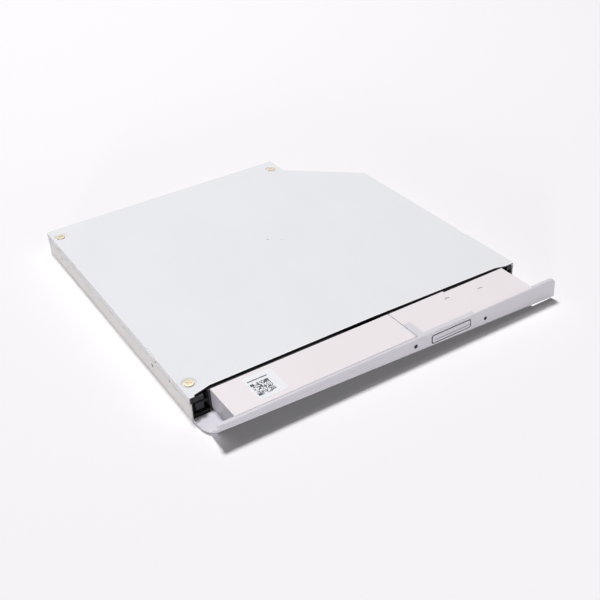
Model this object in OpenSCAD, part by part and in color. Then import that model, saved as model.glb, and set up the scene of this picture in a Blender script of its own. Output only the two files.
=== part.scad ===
// Slim optical disc writer for a portable computer: folded steel casing, moulded tray on two
// telescopic rails, drive mechanism under the tray, and a deep bezel that fills the computer's edge.
// Millimetres. X is the width, -Y the front, +Z up. Z = 0 is the underside of the casing, X = 0 its
// centreline, Y = 0 the middle of its depth.

/* [Casing] */
// Width of the casing
case_w = 128; // [127:0.5:130]
// Depth of the casing, without the bezel
case_d = 127; // [126:0.5:129]
// Height of the casing
case_h = 9; // [9:0.1:9.8]
// Thickness of the two steel covers
sheet_t = 0.5; // [0.4:0.05:0.55]
// Depth of the top cover's side flange
flange_h = 2.3; // [2:0.1:2.6]
// Gap between the flange and the base wall below it
seam_gap = 0.12; // [0.08:0.02:0.2]
// Distance from the centreline to the step in the back edge
step_x = 38.5; // [37.5:0.5:40]
// Depth of the step in the back edge
step_d = 11.5; // [10:0.5:12.5]
// Distance from the back edge to where the slanted corner meets the right side
slant_d = 35.3; // [33:0.5:37]
// How far the cover's front edge stands back between its corners
cover_setback = 2; // [1.6:0.1:2.4]
// Distance of the left cover screws from the casing's side
screw_inset = 3.4; // [3.3:0.1:3.8]
// Distance of the front cover screw from the front edge
screw_front = 7; // [6.5:0.5:8]
// Distance of the rear cover screws from the back edge
screw_back = 6.6; // [6:0.2:7]
// Height of the side mounting holes
mount_z = 4.1; // [3.8:0.1:4.4]
// Distance between the two mounting holes of a side
mount_pitch = 84.4; // [80:0.2:86]
// Distance of the front mounting hole from the front edge
mount_front = 28.2; // [26:0.2:30]
// Radius of the side mounting holes
mount_r = 0.8; // [0.7:0.05:0.9]

/* [Rails and guides] */
// Height of a rail
rail_h = 4.2; // [4:0.1:4.3]
// Depth of a rail's channel across the casing
rail_w = 2.55; // [2.4:0.05:2.7]
// Thickness of the rail's steel
rail_t = 0.5; // [0.4:0.05:0.55]
// Length of the left rail
rail_l = 108; // [100:1:110]
// Height of the rail above the casing's underside
rail_z = 2; // [1.9:0.1:2.1]
// Thickness of the guide's web beside the rail
guide_t = 0.5; // [0.45:0.05:0.6]
// Running clearance round the rails
run_gap = 0.15; // [0.1:0.01:0.2]
// Length of the guide's front block
block_l = 9; // [8.5:0.5:12]

/* [Tray] */
// Left side of the tray, from the centreline
tray_left = 57.2; // [56.8:0.1:57.4]
// Right side of the tray, from the centreline
tray_right = 59.3; // [59:0.1:59.5]
// Height of the tray's rim above the casing's underside
tray_top = 8; // [7.9:0.05:8.1]
// Height of the tray's underside
tray_low = 1.3; // [1.2:0.05:1.4]
// Depth of the disc recess below the rim
recess_d = 1.7; // [1.6:0.05:1.8]
// Thickness of the tray's floor
floor_t = 1; // [0.9:0.05:1.1]
// Thickness of the tray's walls
tray_wall = 1.2; // [1:0.1:1.4]
// Extra depth of the small-disc recess
small_recess_d = 0.4; // [0.3:0.05:0.5]
// Radius of a disc
disc_r = 60; // [60:0.1:60.2]
// Radius of a small disc
small_disc_r = 40; // [39.5:0.5:41]
// Gap round a disc in its recess
disc_gap = 0.6; // [0.5:0.1:0.7]
// Distance of the disc's centre to the right of the centreline
disc_x = 1.2; // [1:0.1:1.2]
// Distance of the disc's centre in front of the middle of the casing
disc_y = 1.5; // [1:0.5:2]
// Distance of the tray's straight back wall from the back of the casing
tray_back_gap = 13.5; // [13:0.5:15]

/* [Bezel] */
// How far the bezel stands in front of the casing
bezel_d = 16; // [15:0.5:17]
// Left end of the bezel's box, from the centreline
box_left = 56.5; // [56:0.1:56.8]
// Right end of the bezel's box, from the centreline
box_right = 58.8; // [58.5:0.1:59]
// Left end of the bezel's foot plate, from the centreline
foot_left = 63.9; // [63.5:0.1:64]
// Left end of the front wall, from the centreline
wall_left = 62.5; // [62:0.1:63]
// Right end of the front wall, from the centreline
wall_right = 68.6; // [67:0.2:69]
// Thickness of the bezel's walls
bezel_t = 1.1; // [0.9:0.05:1.2]
// Thickness of the front wall
front_t = 1.3; // [1.2:0.05:1.5]
// Height of the shelf on top of the bezel
shelf_z = 8; // [7.9:0.05:8.1]
// Height of the ridge of the front wall over the shelf
ridge_h = 0.7; // [0.5:0.05:0.8]
// Height of the front wall's lower edge at its left end
face_low_left = 6.3; // [6:0.1:6.5]
// Height of the front wall's lower edge at its right end
face_low_right = 1.4; // [1.2:0.1:2]
// Slope of the underside below the front wall, in degrees
under_angle = 43.2; // [40:0.2:45]
// Radius of the foot plate's front corner
foot_corner_r = 4.5; // [4:0.1:5]
// Distance of the seam in the shelf to the right of the centreline
seam_x = 10; // [9.8:0.2:10.2]
// Gap of the seam in the shelf
shelf_seam = 0.16; // [0.12:0.02:0.2]
// Gap between the bezel's foot plate and the casing
foot_gap = 0.6; // [0.5:0.1:0.8]
// How far the bezel's box reaches into the casing
box_reach = 1; // [0.9:0.05:1.1]

/* [Front controls] */
// Width of the eject button
button_w = 16.2; // [15.5:0.1:16.6]
// Height of the eject button's face
button_h = 4.3; // [4:0.1:4.4]
// Centre of the eject button, right of the centreline
button_x = 23.2; // [23:0.1:23.5]
// Top of the eject button
button_top = 6.9; // [6.8:0.05:7]
// Gap round the eject button
button_gap = 0.3; // [0.25:0.05:0.35]
// Travel of the eject button
button_travel = 0.5; // [0.4:0.05:0.5]
// Centre of the lamp's hole, right of the centreline
lamp_x = 8.6; // [8.2:0.1:9]
// Height of the lamp's hole
lamp_z = 5.8; // [5.6:0.05:6]
// Radius of the lamp's hole
lamp_r = 0.7; // [0.6:0.05:0.75]
// Centre of the emergency hole, right of the centreline
pin_hole_x = 37.5; // [37.2:0.1:37.8]
// Height of the emergency hole
pin_hole_z = 4.8; // [4.7:0.05:4.9]
// Radius of the emergency hole
pin_hole_r = 0.65; // [0.6:0.05:0.7]
// Width of the blank data label
label_w = 10.4; // [9:0.2:11]
// Depth of the data label
label_d = 12; // [11:0.2:12.4]
// Left edge of the data label, from the centreline
label_left = 46.2; // [44:0.2:48]

/* [Drive mechanism] */
// Direction of the pickup's travel, in degrees from +X
feed_dir = 225; // [224:0.5:226]
// Height of the two guide shafts
shaft_z = 3.4; // [3.35:0.05:3.45]
// Radius of a guide shaft
shaft_r = 1; // [0.9:0.05:1.05]
// Distance of each guide shaft from the spindle's line
shaft_v = 11; // [10.9:0.1:11]
// Distance of the lead screw from the spindle's line
screw_v = 15.9; // [15.9:0.05:16]
// Radius of the lead screw
lead_r = 1; // [0.9:0.05:1]
// Distance of the lens from the spindle at the innermost track
lens_home = 24; // [24:0.5:25]
// Travel of the pickup
pickup_stroke = 33; // [30:0.5:33]
// Length of the pickup along its shafts
pickup_l = 13; // [12:0.5:13]
// Underside of the mechanism's deck
deck_low = 2.2; // [2.15:0.05:2.25]
// Thickness of the mechanism's deck
deck_t = 2.4; // [2.35:0.05:2.45]
// Radius of the spindle motor's rotor
rotor_r = 11.8; // [11:0.1:12]
// Radius of the disc hub
hub_r = 7.4; // [7.35:0.01:7.45]
// Height at which a disc lies
disc_z = 6.6; // [6.55:0.05:6.65]
// Radius of the turntable
table_r = 12.6; // [12:0.1:13]
// Thickness of the printed circuit boards
board_t = 0.8; // [0.7:0.05:0.9]
// Underside of the main circuit board
board_z = 4; // [3.95:0.05:4.05]

/* [Latch] */
// Distance of the latch pin to the right of the centreline
latch_x = 52; // [51.8:0.1:52.2]
// Distance of the latch pin from the casing's front edge
latch_front = 13.5; // [13.3:0.1:13.7]
// Radius of the latch pin
latch_r = 1; // [0.8:0.1:1.1]
// Distance of the lever's pivot to the left of the latch pin
lever_dx = 8; // [7.9:0.1:8.1]
// Distance of the lever's pivot in front of the latch pin
lever_dy = 5; // [4.9:0.1:5.1]
// Half width of the lever's arms
lever_r = 1.2; // [1.1:0.05:1.2]
// Height of the lever's underside
lever_z = 2; // [1.9:0.05:2.1]
// Thickness of the lever
lever_t = 1.2; // [1.1:0.05:1.3]

/* [Hidden] */
$fn = 48;

// Casing, worked out from its driving sizes
half_w = case_w / 2;
half_d = case_d / 2;
front_y = -half_d;
roof_z = case_h - sheet_t;
seam_z = case_h - flange_h - seam_gap;
cup_z = roof_z - sheet_t;
slant_dx = half_w - step_x;
slant_dy = slant_d - step_d;
slant_len = sqrt(slant_dx * slant_dx + slant_dy * slant_dy);
slant_n = [slant_dy / slant_len, slant_dx / slant_len];
slant_c = slant_n[0] * half_w + slant_n[1] * (half_d - slant_d);
// Height of the slanted corner's line at a given X, moved in by i
function slant_y(x, i) = (slant_c - i - slant_n[0] * x) / slant_n[1];
// X of the slanted corner's line at a given Y, moved in by i
function slant_x(y, i) = (slant_c - i - slant_n[1] * y) / slant_n[0];
screw_left_x = -half_w + screw_inset;
screw_right_x = step_x - screw_inset;
screw_places = [
    [screw_left_x, front_y + screw_front],
    [screw_left_x, half_d - screw_back],
    [screw_right_x, half_d - screw_back]
];
screw_r = 0.8;
head_r = 1.7;
thread_gap = 0.05;
cup_r = 2.6;
// Tabs of the base wall behind the flange, as [front end, back end] from the casing's front edge
left_tabs = [[10.2, 14.2], [51.5, 62], [99.6, 106.3]];
right_tabs = [[10.2, 14.2], [51.5, 62]];
tab_t = 0.45;
tab_drop = 0.7;
tab_rise = 1.6;
mount_ys = [front_y + mount_front, front_y + mount_front + mount_pitch];

// Rails and guides
guide_in = half_w - sheet_t - guide_t;
rail_out = guide_in - run_gap;
rail_in = rail_out - rail_w;
rail_top = rail_z + rail_h;
rail_front = front_y + 1.5;
left_rail_back = rail_front + rail_l;
right_guide_back = slant_y(half_w - sheet_t, sheet_t) - 0.3;
right_rail_back = right_guide_back - 0.5;
lip_top = cup_z - 0.05;
lip_low = rail_top + run_gap;
lip_w = 2;
boss_in = half_w + screw_left_x + head_r;
block_in = 0.5;
runner_top = rail_top - rail_t - run_gap;
runner_low = rail_z + rail_t + run_gap;
runner_out = rail_out - rail_t - run_gap;
wing_t = 1;

// Tray
floor_top = tray_top - recess_d;
floor_low = floor_top - floor_t;
small_floor = floor_top - small_recess_d;
tray_front = front_y + box_reach + 0.1;
tray_back = half_d - tray_back_gap;
tray_clear = 1;
recess_r = disc_r + disc_gap;
arc_r = recess_r + 0.8;
spindle = [disc_x, -disc_y];

// Bezel
bezel_front = front_y - bezel_d;
foot_low = 0.1;
ridge_z = shelf_z + ridge_h;
wall_back = bezel_front + front_t;
foot_right = box_right + 1;
face_run = wall_left + wall_right;
face_slope = (face_low_left - face_low_right) / face_run;
face_tilt = atan(face_slope * cos(under_angle));
cap_step_x = 33;
cap_step_d = 0.7;
rest_t = 1.6;
pad_left = button_x - button_w / 2 - 4;
pad_right = button_x + button_w / 2 + 3.7;
pad_t = 1.4;

// Mechanism
deck_top = deck_low + deck_t;
mecha_z = floor_low + 0.2;
mecha_t = 0.4;
slot_in = lens_home - pickup_l / 2 - 3.2;
slot_out = lens_home + pickup_stroke + pickup_l / 2 + 1.1;
slot_v = [-shaft_v - 2.5, screw_v + 3.3];
ears = [[-21, 1.5], [30, -21.5], [30, 25.5]];
ear_r = 3.4;
grommet_r = 1.85;
fit_gap = 0.05;
post_r = 1;
posts = [[-13.5, -13.5], [-13.5, 17], [slot_out + 1.1, -6], [slot_out + 1.1, 11.5]];
front_reach = (spindle[1] - tray_front - tray_wall - 0.3) * sqrt(2);
board_screws = [[36, -37], [42, 24], [12, 38.4]];
nut_u = [-1, 5];
motor_u = [slot_in - 2.8, slot_in + 7];
flange_t = 0.4;
wall_pair = [1, -1];

// Latch
latch_pos = [latch_x, front_y + latch_front];
lever_pos = [latch_x - lever_dx, front_y + latch_front - lever_dy];
hook_pos = [4.9, 9.5];
plunger_dy = 4;
plunger_z = 2.9;
plunger_r = 1;
lever_tab_dx = pin_hole_x - lever_pos[0];

// Circuit boards
main_outline = [
    [32, -42], [56, -42], [56, 26], [40, 42], [-6, 42], [-6, 28], [9, 28], [32, 5]
];
rear_z = 1.4;
flex_t = 0.15;
flex_x = -4;
flex_w = 12;
flex_fold_y = -8;
socket_y = tray_back + 2;
main_socket_y = 36;
flex_low = sheet_t + 0.1;
flex_up = flex_low + 0.4;
sata_x = -41.2;
sata_w = 31;
sata_l = 9;
sata_h = 5;
sata_z = rear_z + board_t;

// Plan of the casing, moved in by i on every side
module casing_plan(i) {
    polygon([
        [-half_w + i, front_y + i], [half_w - i, front_y + i],
        [half_w - i, slant_y(half_w - i, i)], [step_x - i, slant_y(step_x - i, i)],
        [step_x - i, half_d - i], [-half_w + i, half_d - i]
    ]);
}

// Space inside the casing's walls, open at the front
module casing_hollow(i) {
    casing_plan(i);
    translate([-half_w + i, front_y - 1]) square([case_w - 2 * i, 2 + i]);
}

// A block from one corner to the other
module block(a, b) {
    translate(a) cube([b[0] - a[0], b[1] - a[1], b[2] - a[2]]);
}

// A round bar standing on z
module post(p, z, h, r) {
    translate([p[0], p[1], z]) cylinder(h = h, r = r);
}

// A bar along the feed direction, from u0 to u1 at v and height z
module feed_bar(u0, u1, v, z, r) {
    translate([u0, v, z]) rotate([0, 90, 0]) cylinder(h = u1 - u0, r = r);
}

// Places its children in the mechanism's frame: X along the feed, origin on the spindle
module at_spindle() {
    translate([spindle[0], spindle[1], 0]) rotate([0, 0, feed_dir]) children();
}

// Tabs on one side of the base, joggled in behind the top cover's flange
module side_tabs(tabs) {
    for (t = tabs) {
        block(
            [half_w - sheet_t - tab_t, front_y + t[0], seam_z - tab_drop],
            [half_w - sheet_t - fit_gap, front_y + t[1], seam_z + tab_rise]
        );
        block(
            [half_w - sheet_t - tab_t, front_y + t[0], seam_z - tab_drop],
            [half_w - sheet_t / 2, front_y + t[1], seam_z]
        );
    }
}

// Relief notches at both ends of each tab
module side_reliefs(tabs) {
    for (t = tabs) for (y = [t[0] - 0.8, t[1]])
        block([half_w - sheet_t - 0.1, front_y + y, seam_z - 0.7], [half_w + 0.1, front_y + y + 0.8, seam_z + 0.1]);
}

// Window in the back wall for the connector
module sata_window() {
    block(
        [sata_x - sata_w / 2 - 0.5, half_d - sheet_t - 0.2, sata_z - 0.3],
        [sata_x + sata_w / 2 + 0.5, half_d + 0.2, sata_z + sata_h + 0.4]
    );
}

// Base pan of folded sheet steel, with its screw posts and tabs
module bottom_cover() {
    color("#b4b9bd") difference() {
        union() {
            difference() {
                linear_extrude(seam_z) casing_plan(0);
                translate([0, 0, sheet_t]) linear_extrude(case_h) casing_hollow(sheet_t);
            }
            side_tabs(right_tabs);
            mirror([1, 0, 0]) side_tabs(left_tabs);
            for (i = [1, 2]) post(screw_places[i], 0, cup_z - 0.02, cup_r - 0.4);
            for (x = [-18, 4]) post([x, half_d - 6.5], 0, rear_z, 1.5);
        }
        side_reliefs(right_tabs);
        mirror([1, 0, 0]) side_reliefs(left_tabs);
        for (i = [1, 2]) post(screw_places[i], -0.1, case_h, screw_r + thread_gap);
        for (s = [-1, 1]) for (y = mount_ys) if (s < 0 || y < half_d - slant_d)
            translate([s * half_w, y, mount_z]) rotate([0, 90, 0])
                cylinder(h = 4 * sheet_t, r = mount_r, center = true);
        sata_window();
        post(latch_pos, -0.1, sheet_t + 0.2, latch_r / 2 + 0.02);
    }
}

// Top cover: flat steel sheet with side flanges and three pressed screw cups
module top_cover() {
    edge = front_y + 0.3;
    color("#e3e7ea") difference() {
        union() {
            difference() {
                translate([0, 0, case_h - flange_h]) linear_extrude(flange_h) casing_plan(0);
                translate([0, 0, case_h - flange_h - 1]) linear_extrude(flange_h - sheet_t + 1)
                    casing_hollow(sheet_t);
            }
            for (p = screw_places) post(p, cup_z, sheet_t, cup_r + 0.3);
        }
        for (p = screw_places) {
            translate([p[0], p[1], roof_z]) cylinder(h = sheet_t + 0.01, r1 = head_r + 0.2, r2 = cup_r);
            post(p, cup_z - 0.1, case_h, screw_r + 0.2);
        }
        translate([0, 0, roof_z - 1]) linear_extrude(case_h) polygon([
            [-half_w - 1, front_y - 1], [-half_w - 1, edge], [-half_w + 3.5, edge],
            [-half_w + 7.5, front_y + cover_setback], [half_w - 7.5, front_y + cover_setback],
            [half_w - 3.5, edge], [half_w + 1, edge], [half_w + 1, front_y - 1]
        ]);
        sata_window();
        for (s = wall_pair) for (y = [24.8, 113.8]) if (s < 0 || y < 30)
            block_at([s * half_w, front_y + y, case_h - 1.4], [4 * sheet_t, 1.3, 0.8]);
        for (s = wall_pair)
            block_at([s * half_w, front_y + 28.2, case_h], [0.7, 6, 0.9]);
        post([2.8, 4.3], case_h - 0.2, 1, 0.45);
        post([7.1, 1], case_h - 0.1, 1, 0.4);
    }
}

// A block of a given size centred on a point
module block_at(p, size) {
    translate(p) cube(size, center = true);
}

// Three small countersunk screws that hold the cover
module cover_screws() {
    color("#c9b48c") for (p = screw_places) difference() {
        union() {
            post(p, roof_z + 0.01, sheet_t - 0.05, head_r);
            post(p, lip_low + 0.25, roof_z - lip_low, screw_r);
        }
        for (a = [45, 135]) translate([p[0], p[1], case_h]) rotate([0, 0, a])
            cube([2, 0.45, 0.5], center = true);
    }
}

// Section of a guide on the right side: web, lower lip and upper lip
module guide_section(lower_in, upper_in) {
    out = half_w - sheet_t;
    translate([guide_in, sheet_t]) square([out - guide_in, lip_top - sheet_t]);
    translate([lower_in, sheet_t]) square([out - lower_in, rail_z - run_gap - sheet_t]);
    translate([upper_in, lip_low]) square([out - upper_in, lip_top - lip_low]);
}

// One moulded guide on the right side, with its front block
module guide(tabs, inner, upper_in, back) {
    length = back - front_y - 0.3;
    difference() {
        union() {
            translate([0, front_y + 0.3 + length, 0]) rotate([90, 0, 0]) linear_extrude(length)
                guide_section(rail_in + 0.4, half_w - sheet_t - lip_w);
            translate([0, front_y + 0.3 + block_l, 0]) rotate([90, 0, 0]) linear_extrude(block_l)
                guide_section(inner, upper_in);
        }
        for (t = tabs) block(
            [guide_in - 0.1, front_y + t[0] - 0.4, seam_z - tab_drop - 0.15],
            [half_w, front_y + t[1] + 0.4, case_h]
        );
        for (y = mount_ys) translate([half_w, y, mount_z]) rotate([0, 90, 0])
            cylinder(h = 5, r = mount_r + 0.3, center = true);
    }
}

module left_guide() {
    color("#1c1d1f") difference() {
        mirror([1, 0, 0]) guide(left_tabs, tray_left + block_in, -screw_left_x - 1.5, left_rail_back);
        post(screw_places[0], lip_low - 1, case_h, screw_r + thread_gap);
    }
}

module right_guide() {
    color("#1c1d1f") guide(right_tabs, tray_right + block_in, half_w - sheet_t - lip_w, right_guide_back);
}

// One steel rail on the right side: a channel open towards the tray
module rail(back) {
    difference() {
        block([rail_in, rail_front, rail_z], [rail_out, back, rail_top]);
        block([rail_in - 1, rail_front - 1, rail_z + rail_t], [rail_out - rail_t, back + 1, rail_top - rail_t]);
        for (y = [rail_front + 12, back - 12]) translate([rail_out, y, rail_z + rail_h / 2])
            rotate([0, 90, 0]) cylinder(h = 4 * rail_t, r = 0.9, center = true);
    }
}

module left_rail() {
    color("#a9adb1") mirror([1, 0, 0]) rail(left_rail_back);
}

module right_rail() {
    color("#a9adb1") rail(right_rail_back);
}

// Small circuit board behind the tray, on two half-sheared seats of the base
module rear_board() {
    color("#1f5a3a") block([-57, socket_y - 0.2, rear_z], [10, half_d - 2, rear_z + board_t]);
}

// Device plug at the back: moulded shroud round a keyed tongue
module sata_connector() {
    back = half_d - 0.1;
    low = sata_z;
    color("#17181a") difference() {
        union() {
            difference() {
                block([sata_x - sata_w / 2, back - sata_l, low], [sata_x + sata_w / 2, back, low + sata_h]);
                block(
                    [sata_x - sata_w / 2 + 1, back - sata_l + 2, low + 0.9],
                    [sata_x + sata_w / 2 - 1, back + 1, low + sata_h - 0.9]
                );
            }
            block([sata_x - sata_w / 2 + 2, back - sata_l + 1, low + 2.1], [sata_x - 1, back - 1, low + 3.3]);
            block([sata_x + 1, back - sata_l + 1, low + 2.1], [sata_x + sata_w / 2 - 2, back - 1, low + 3.3]);
            block([sata_x - sata_w / 2 + 2, back - sata_l + 1, low + 1.2], [sata_x - sata_w / 2 + 3, back - 1, low + 3.3]);
        }
    }
}

// Socket on the rear board for the flat cable
module flex_socket() {
    color("#d8d2c2") block(
        [flex_x - 1.2, socket_y, rear_z + board_t],
        [flex_x + flex_w + 1.2, socket_y + 3, rear_z + board_t + 1]
    );
}

// Flat cable: along the casing's floor, folded over, and back under the tray
module flex_cable() {
    bend_r = (flex_up - flex_low + flex_t) / 2;
    rear_y = tray_back + 1;
    color("#e9e4d4") {
        block([flex_x, flex_fold_y, flex_low], [flex_x + flex_w, rear_y + flex_t, flex_low + flex_t]);
        block([flex_x, flex_fold_y, flex_up], [flex_x + flex_w, main_socket_y, flex_up + flex_t]);
        block([flex_x, main_socket_y - flex_t, flex_up], [flex_x + flex_w, main_socket_y, board_z - 0.5]);
        block([flex_x, rear_y, flex_low], [flex_x + flex_w, rear_y + flex_t, sata_z + 0.6]);
        block([flex_x, rear_y, sata_z + 0.6 - flex_t], [flex_x + flex_w, socket_y, sata_z + 0.6]);
        translate([flex_x, flex_fold_y, flex_low + bend_r]) rotate([0, 90, 0]) difference() {
            cylinder(h = flex_w, r = bend_r);
            translate([0, 0, -1]) cylinder(h = flex_w + 2, r = bend_r - flex_t);
            translate([-bend_r - 1, 0, -1]) cube([2 * bend_r + 2, bend_r + 1, flex_w + 2]);
        }
    }
}

// Steel pin riveted in the base, which the latch hooks
module latch_pin() {
    color("#c3c6c9") {
        post(latch_pos, 0.02, sheet_t, latch_r / 2);
        post(latch_pos, sheet_t, 3.1, latch_r);
    }
}

// Plan of the tray's body
module tray_plan(i) {
    clear = sheet_t + tray_clear + i;
    polygon([
        [-tray_left + i, tray_front + i], [tray_right - i, tray_front + i],
        [tray_right - i, slant_y(tray_right - i, clear)], [slant_x(tray_back - i, clear), tray_back - i],
        [-tray_left + i, tray_back - i]
    ]);
}

// Plan of the tray's floor: the body and the round stretch behind the disc
module floor_plan() {
    tray_plan(0);
    intersection() {
        translate(spindle) circle(r = arc_r, $fn = 96);
        translate([-tray_left, 0]) square([tray_left + tray_right, half_d]);
        casing_plan(sheet_t + tray_clear);
    }
}

// Plan of the mechanism's window, in the mechanism's frame, moved out by g
module window_plan(g) {
    a = slot_in - 30.5;
    b = slot_out;
    polygon([
        [a - g, -16 - g], [b - 6.2 + g / 2, -16 - g], [b + 1.8 + g, -8.5 - g / 2],
        [b + 1.8 + g, 12.5 + g / 2], [b - 6.2 + g / 2, 19.5 + g], [a - g, 19.5 + g]
    ]);
}

// Runner along one side of the tray: a wing with a bead that slides in the rail
module runner(wall_x, back) {
    mid = (runner_low + runner_top) / 2;
    y0 = tray_front + 1;
    y1 = back - 1;
    block([wall_x - 0.2, y0, mid - wing_t / 2], [runner_out, y1, mid + wing_t / 2]);
    for (y = [y0, (y0 + y1) / 2 - 9, y1 - 18])
        block([rail_in + 0.4, y, runner_low], [runner_out, y + 18, runner_top]);
}

// Moulded tray: floor with the disc recess, rim, walls, runners and seats underneath
module tray() {
    color("#232426") difference() {
        union() {
            translate([0, 0, floor_low]) linear_extrude(tray_top - floor_low) floor_plan();
            translate([0, 0, tray_low]) linear_extrude(floor_low - tray_low + 0.1) difference() {
                tray_plan(0);
                tray_plan(tray_wall);
            }
            runner(tray_right, right_rail_back);
            mirror([1, 0, 0]) runner(tray_left, left_rail_back);
            at_spindle() for (e = ears) post(e, deck_top + flange_t, floor_low - deck_top, 2.4);
            for (p = board_screws) post(p, board_z + board_t, floor_low - board_z, 2);
            post(lever_pos, lever_z + lever_t + 0.1, floor_low - lever_z - lever_t, 1.8);
            post(lever_pos, lever_z - 0.3, floor_low - lever_z, 0.8);
            block([8, tray_front - 8.5, 1.6], [41, tray_front + 1, 2.6]);
            for (x = [-44, -12, 48]) block([x - 4, tray_front - 5, 3.2], [x + 4, tray_front + 1, 4.2]);
        }
        post(spindle, floor_top, 5, recess_r);
        post(spindle, small_floor, 5, small_disc_r + disc_gap);
        at_spindle() translate([0, 0, floor_low - 1]) linear_extrude(6) window_plan(0.4);
        at_spindle() for (e = ears) post(e, deck_top, small_floor - deck_top - 0.02, 0.75);
        for (p = board_screws) post(p, board_z, small_floor - board_z - 0.02, 0.65);
        block([latch_x - latch_r - 0.5, tray_front + 14, tray_low - 1], [latch_x + latch_r + 0.5, half_d, 3.8]);
        translate([pin_hole_x, tray_front, pin_hole_z]) rotate([90, 0, 0])
            cylinder(h = 6, r = pin_hole_r + 0.35, center = true);
    }
}

// Everything below the bezel's slanted underside, moved up by t
module under_space(t) {
    translate([-wall_left, bezel_front, face_low_left]) rotate([-under_angle, 0, 0])
        rotate([0, face_tilt, 0]) translate([-100, -100, t - 60]) cube([400, 200, 60]);
}

// What the rounded front corner of the foot plate takes off
module corner_trim() {
    translate([-foot_left, bezel_front, face_low_left]) rotate([-under_angle, 0, 0])
        translate([0, 0, 0]) rotate([0, face_tilt, 0]) difference() {
            translate([-5, -30, -2]) cube([foot_corner_r + 5, 60, foot_corner_r + 2]);
            translate([foot_corner_r, -31, foot_corner_r]) rotate([-90, 0, 0])
                cylinder(h = 62, r = foot_corner_r);
        }
}

// Opening for the eject button and the two holes in the front wall
module front_cuts() {
    block(
        [button_x - button_w / 2 - button_gap, bezel_front - 1, button_top - button_h - button_gap],
        [button_x + button_w / 2 + button_gap, wall_back + pad_t + 0.5, button_top + button_gap]
    );
    translate([lamp_x, bezel_front, lamp_z]) rotate([90, 0, 0])
        cylinder(h = 4 * front_t, r = lamp_r + fit_gap, center = true);
    translate([pin_hole_x, bezel_front, pin_hole_z]) rotate([90, 0, 0])
        cylinder(h = 4 * front_t, r = pin_hole_r, center = true);
}

// Moulded bezel: front wall, slanted underside, foot plate, box walls and the left shelf
module front_bezel() {
    box_back = front_y + box_reach;
    color("#c9c6cf") difference() {
        union() {
            difference() {
                block([-foot_left, bezel_front, foot_low], [foot_right, front_y - foot_gap, ridge_z]);
                difference() {
                    block([-foot_left - 1, wall_back, foot_low + bezel_t], [foot_right + 1, 0, ridge_z + 1]);
                    under_space(bezel_t);
                }
                block([-foot_left - 1, bezel_front - 1, face_low_left], [-wall_left, 0, ridge_z + 1]);
                corner_trim();
            }
            difference() {
                block([0, bezel_front, foot_low], [wall_right, wall_back, ridge_z]);
                translate([wall_right, 0, ridge_z]) rotate([0, 45, 0]) cube([2.2, 400, 2.2], center = true);
            }
            block([pad_left, wall_back - 0.1, foot_low], [pad_right, wall_back + pad_t, ridge_z]);
            block([-box_left, wall_back - 0.1, foot_low + 0.1], [-box_left + bezel_t, box_back, shelf_z]);
            block([box_right - bezel_t, wall_back - 0.1, foot_low + 0.1], [box_right, box_back, shelf_z - bezel_t]);
            block([-box_left, wall_back - 0.1, shelf_z - bezel_t], [seam_x, box_back, shelf_z]);
            block([seam_x - 0.4, wall_back - 0.1, shelf_z - 2 * bezel_t], [seam_x + rest_t, box_back - 1.2, shelf_z - bezel_t]);
            block([seam_x - rest_t, wall_back - 0.1, shelf_z - 2 * bezel_t], [box_right, wall_back + 1, shelf_z - bezel_t]);
            for (x = [-30, -2, 44.5]) block([x, wall_back - 0.1, foot_low + 0.1], [x + 1, wall_back + 6, shelf_z - bezel_t]);
        }
        under_space(0);
        front_cuts();
        block([-foot_left - 1, front_y - foot_gap, -1], [foot_right + 1, 0, foot_low + bezel_t + 0.2]);
        for (x = [-41, 9.5]) block([x - 0.1, front_y - 7.3, 1.2], [x + 1.1, front_y, 5]);
    }
}

// Separate cap over the right half of the bezel's box
module shelf_cap() {
    color("#dcd7da") difference() {
        block(
            [seam_x + shelf_seam, wall_back + fit_gap, shelf_z - bezel_t + 0.02],
            [box_right, front_y + box_reach, shelf_z]
        );
        block([cap_step_x, front_y + box_reach - cap_step_d, 0], [box_right + 1, 0, case_h]);
        block([pad_left - fit_gap, 2 * bezel_front, 0], [pad_right + fit_gap, wall_back + pad_t + fit_gap, case_h]);
        for (p = [[31.6, 3.1], [44.5, 5]])
            block_at([p[0], front_y - p[1], shelf_z], [1.8, 0.6, 0.8]);
        block([seam_x, 2 * bezel_front, shelf_z - 0.12], [seam_x + 2.8, front_y - 7, case_h]);
    }
}

// Clear rod that carries the lamp's light to the front
module light_pipe() {
    color("#3b3d42") translate([lamp_x, bezel_front + 6.6, lamp_z]) rotate([90, 0, 0]) cylinder(h = 6.5, r = lamp_r);
}

// Thin blank data label with rounded corners on the left shelf
module data_label() {
    r = 1.2;
    color("#fbfbfb") translate([-label_left, front_y - 0.7 - label_d, shelf_z]) linear_extrude(0.06)
        union() {
            translate([r, 0]) square([label_w - 2 * r, label_d]);
            translate([0, r]) square([label_w, label_d - 2 * r]);
            for (x = [r, label_w - r]) for (y = [r, label_d - r]) translate([x, y]) circle(r = r);
        }
}

// Eject button: face that follows the bezel, and the stem that meets the switch
module eject_button() {
    color("#c4c1cc") difference() {
        union() {
            block(
                [button_x - button_w / 2, bezel_front, button_top - button_h],
                [button_x + button_w / 2, wall_back + pad_t, button_top]
            );
            block([button_x - 9.6, wall_back + pad_t + 0.7, 3.6], [button_x + 9.6, wall_back + pad_t + 1.4, 5.8]);
            block([button_x - 1.5, wall_back, 3.8], [button_x + 1.5, bezel_front + 5.6, 5.2]);
            for (x = [-7, 5.8]) block(
                [button_x + x, wall_back, 3.8], [button_x + x + 1.2, wall_back + pad_t + 1, 5.2]
            );
        }
        under_space(0.25);
        block([0, wall_back, 0], [button_x - 7, wall_back + pad_t + 0.7, case_h]);
        block([button_x + 7, wall_back, 0], [60, wall_back + pad_t + 0.7, case_h]);
    }
}

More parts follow.
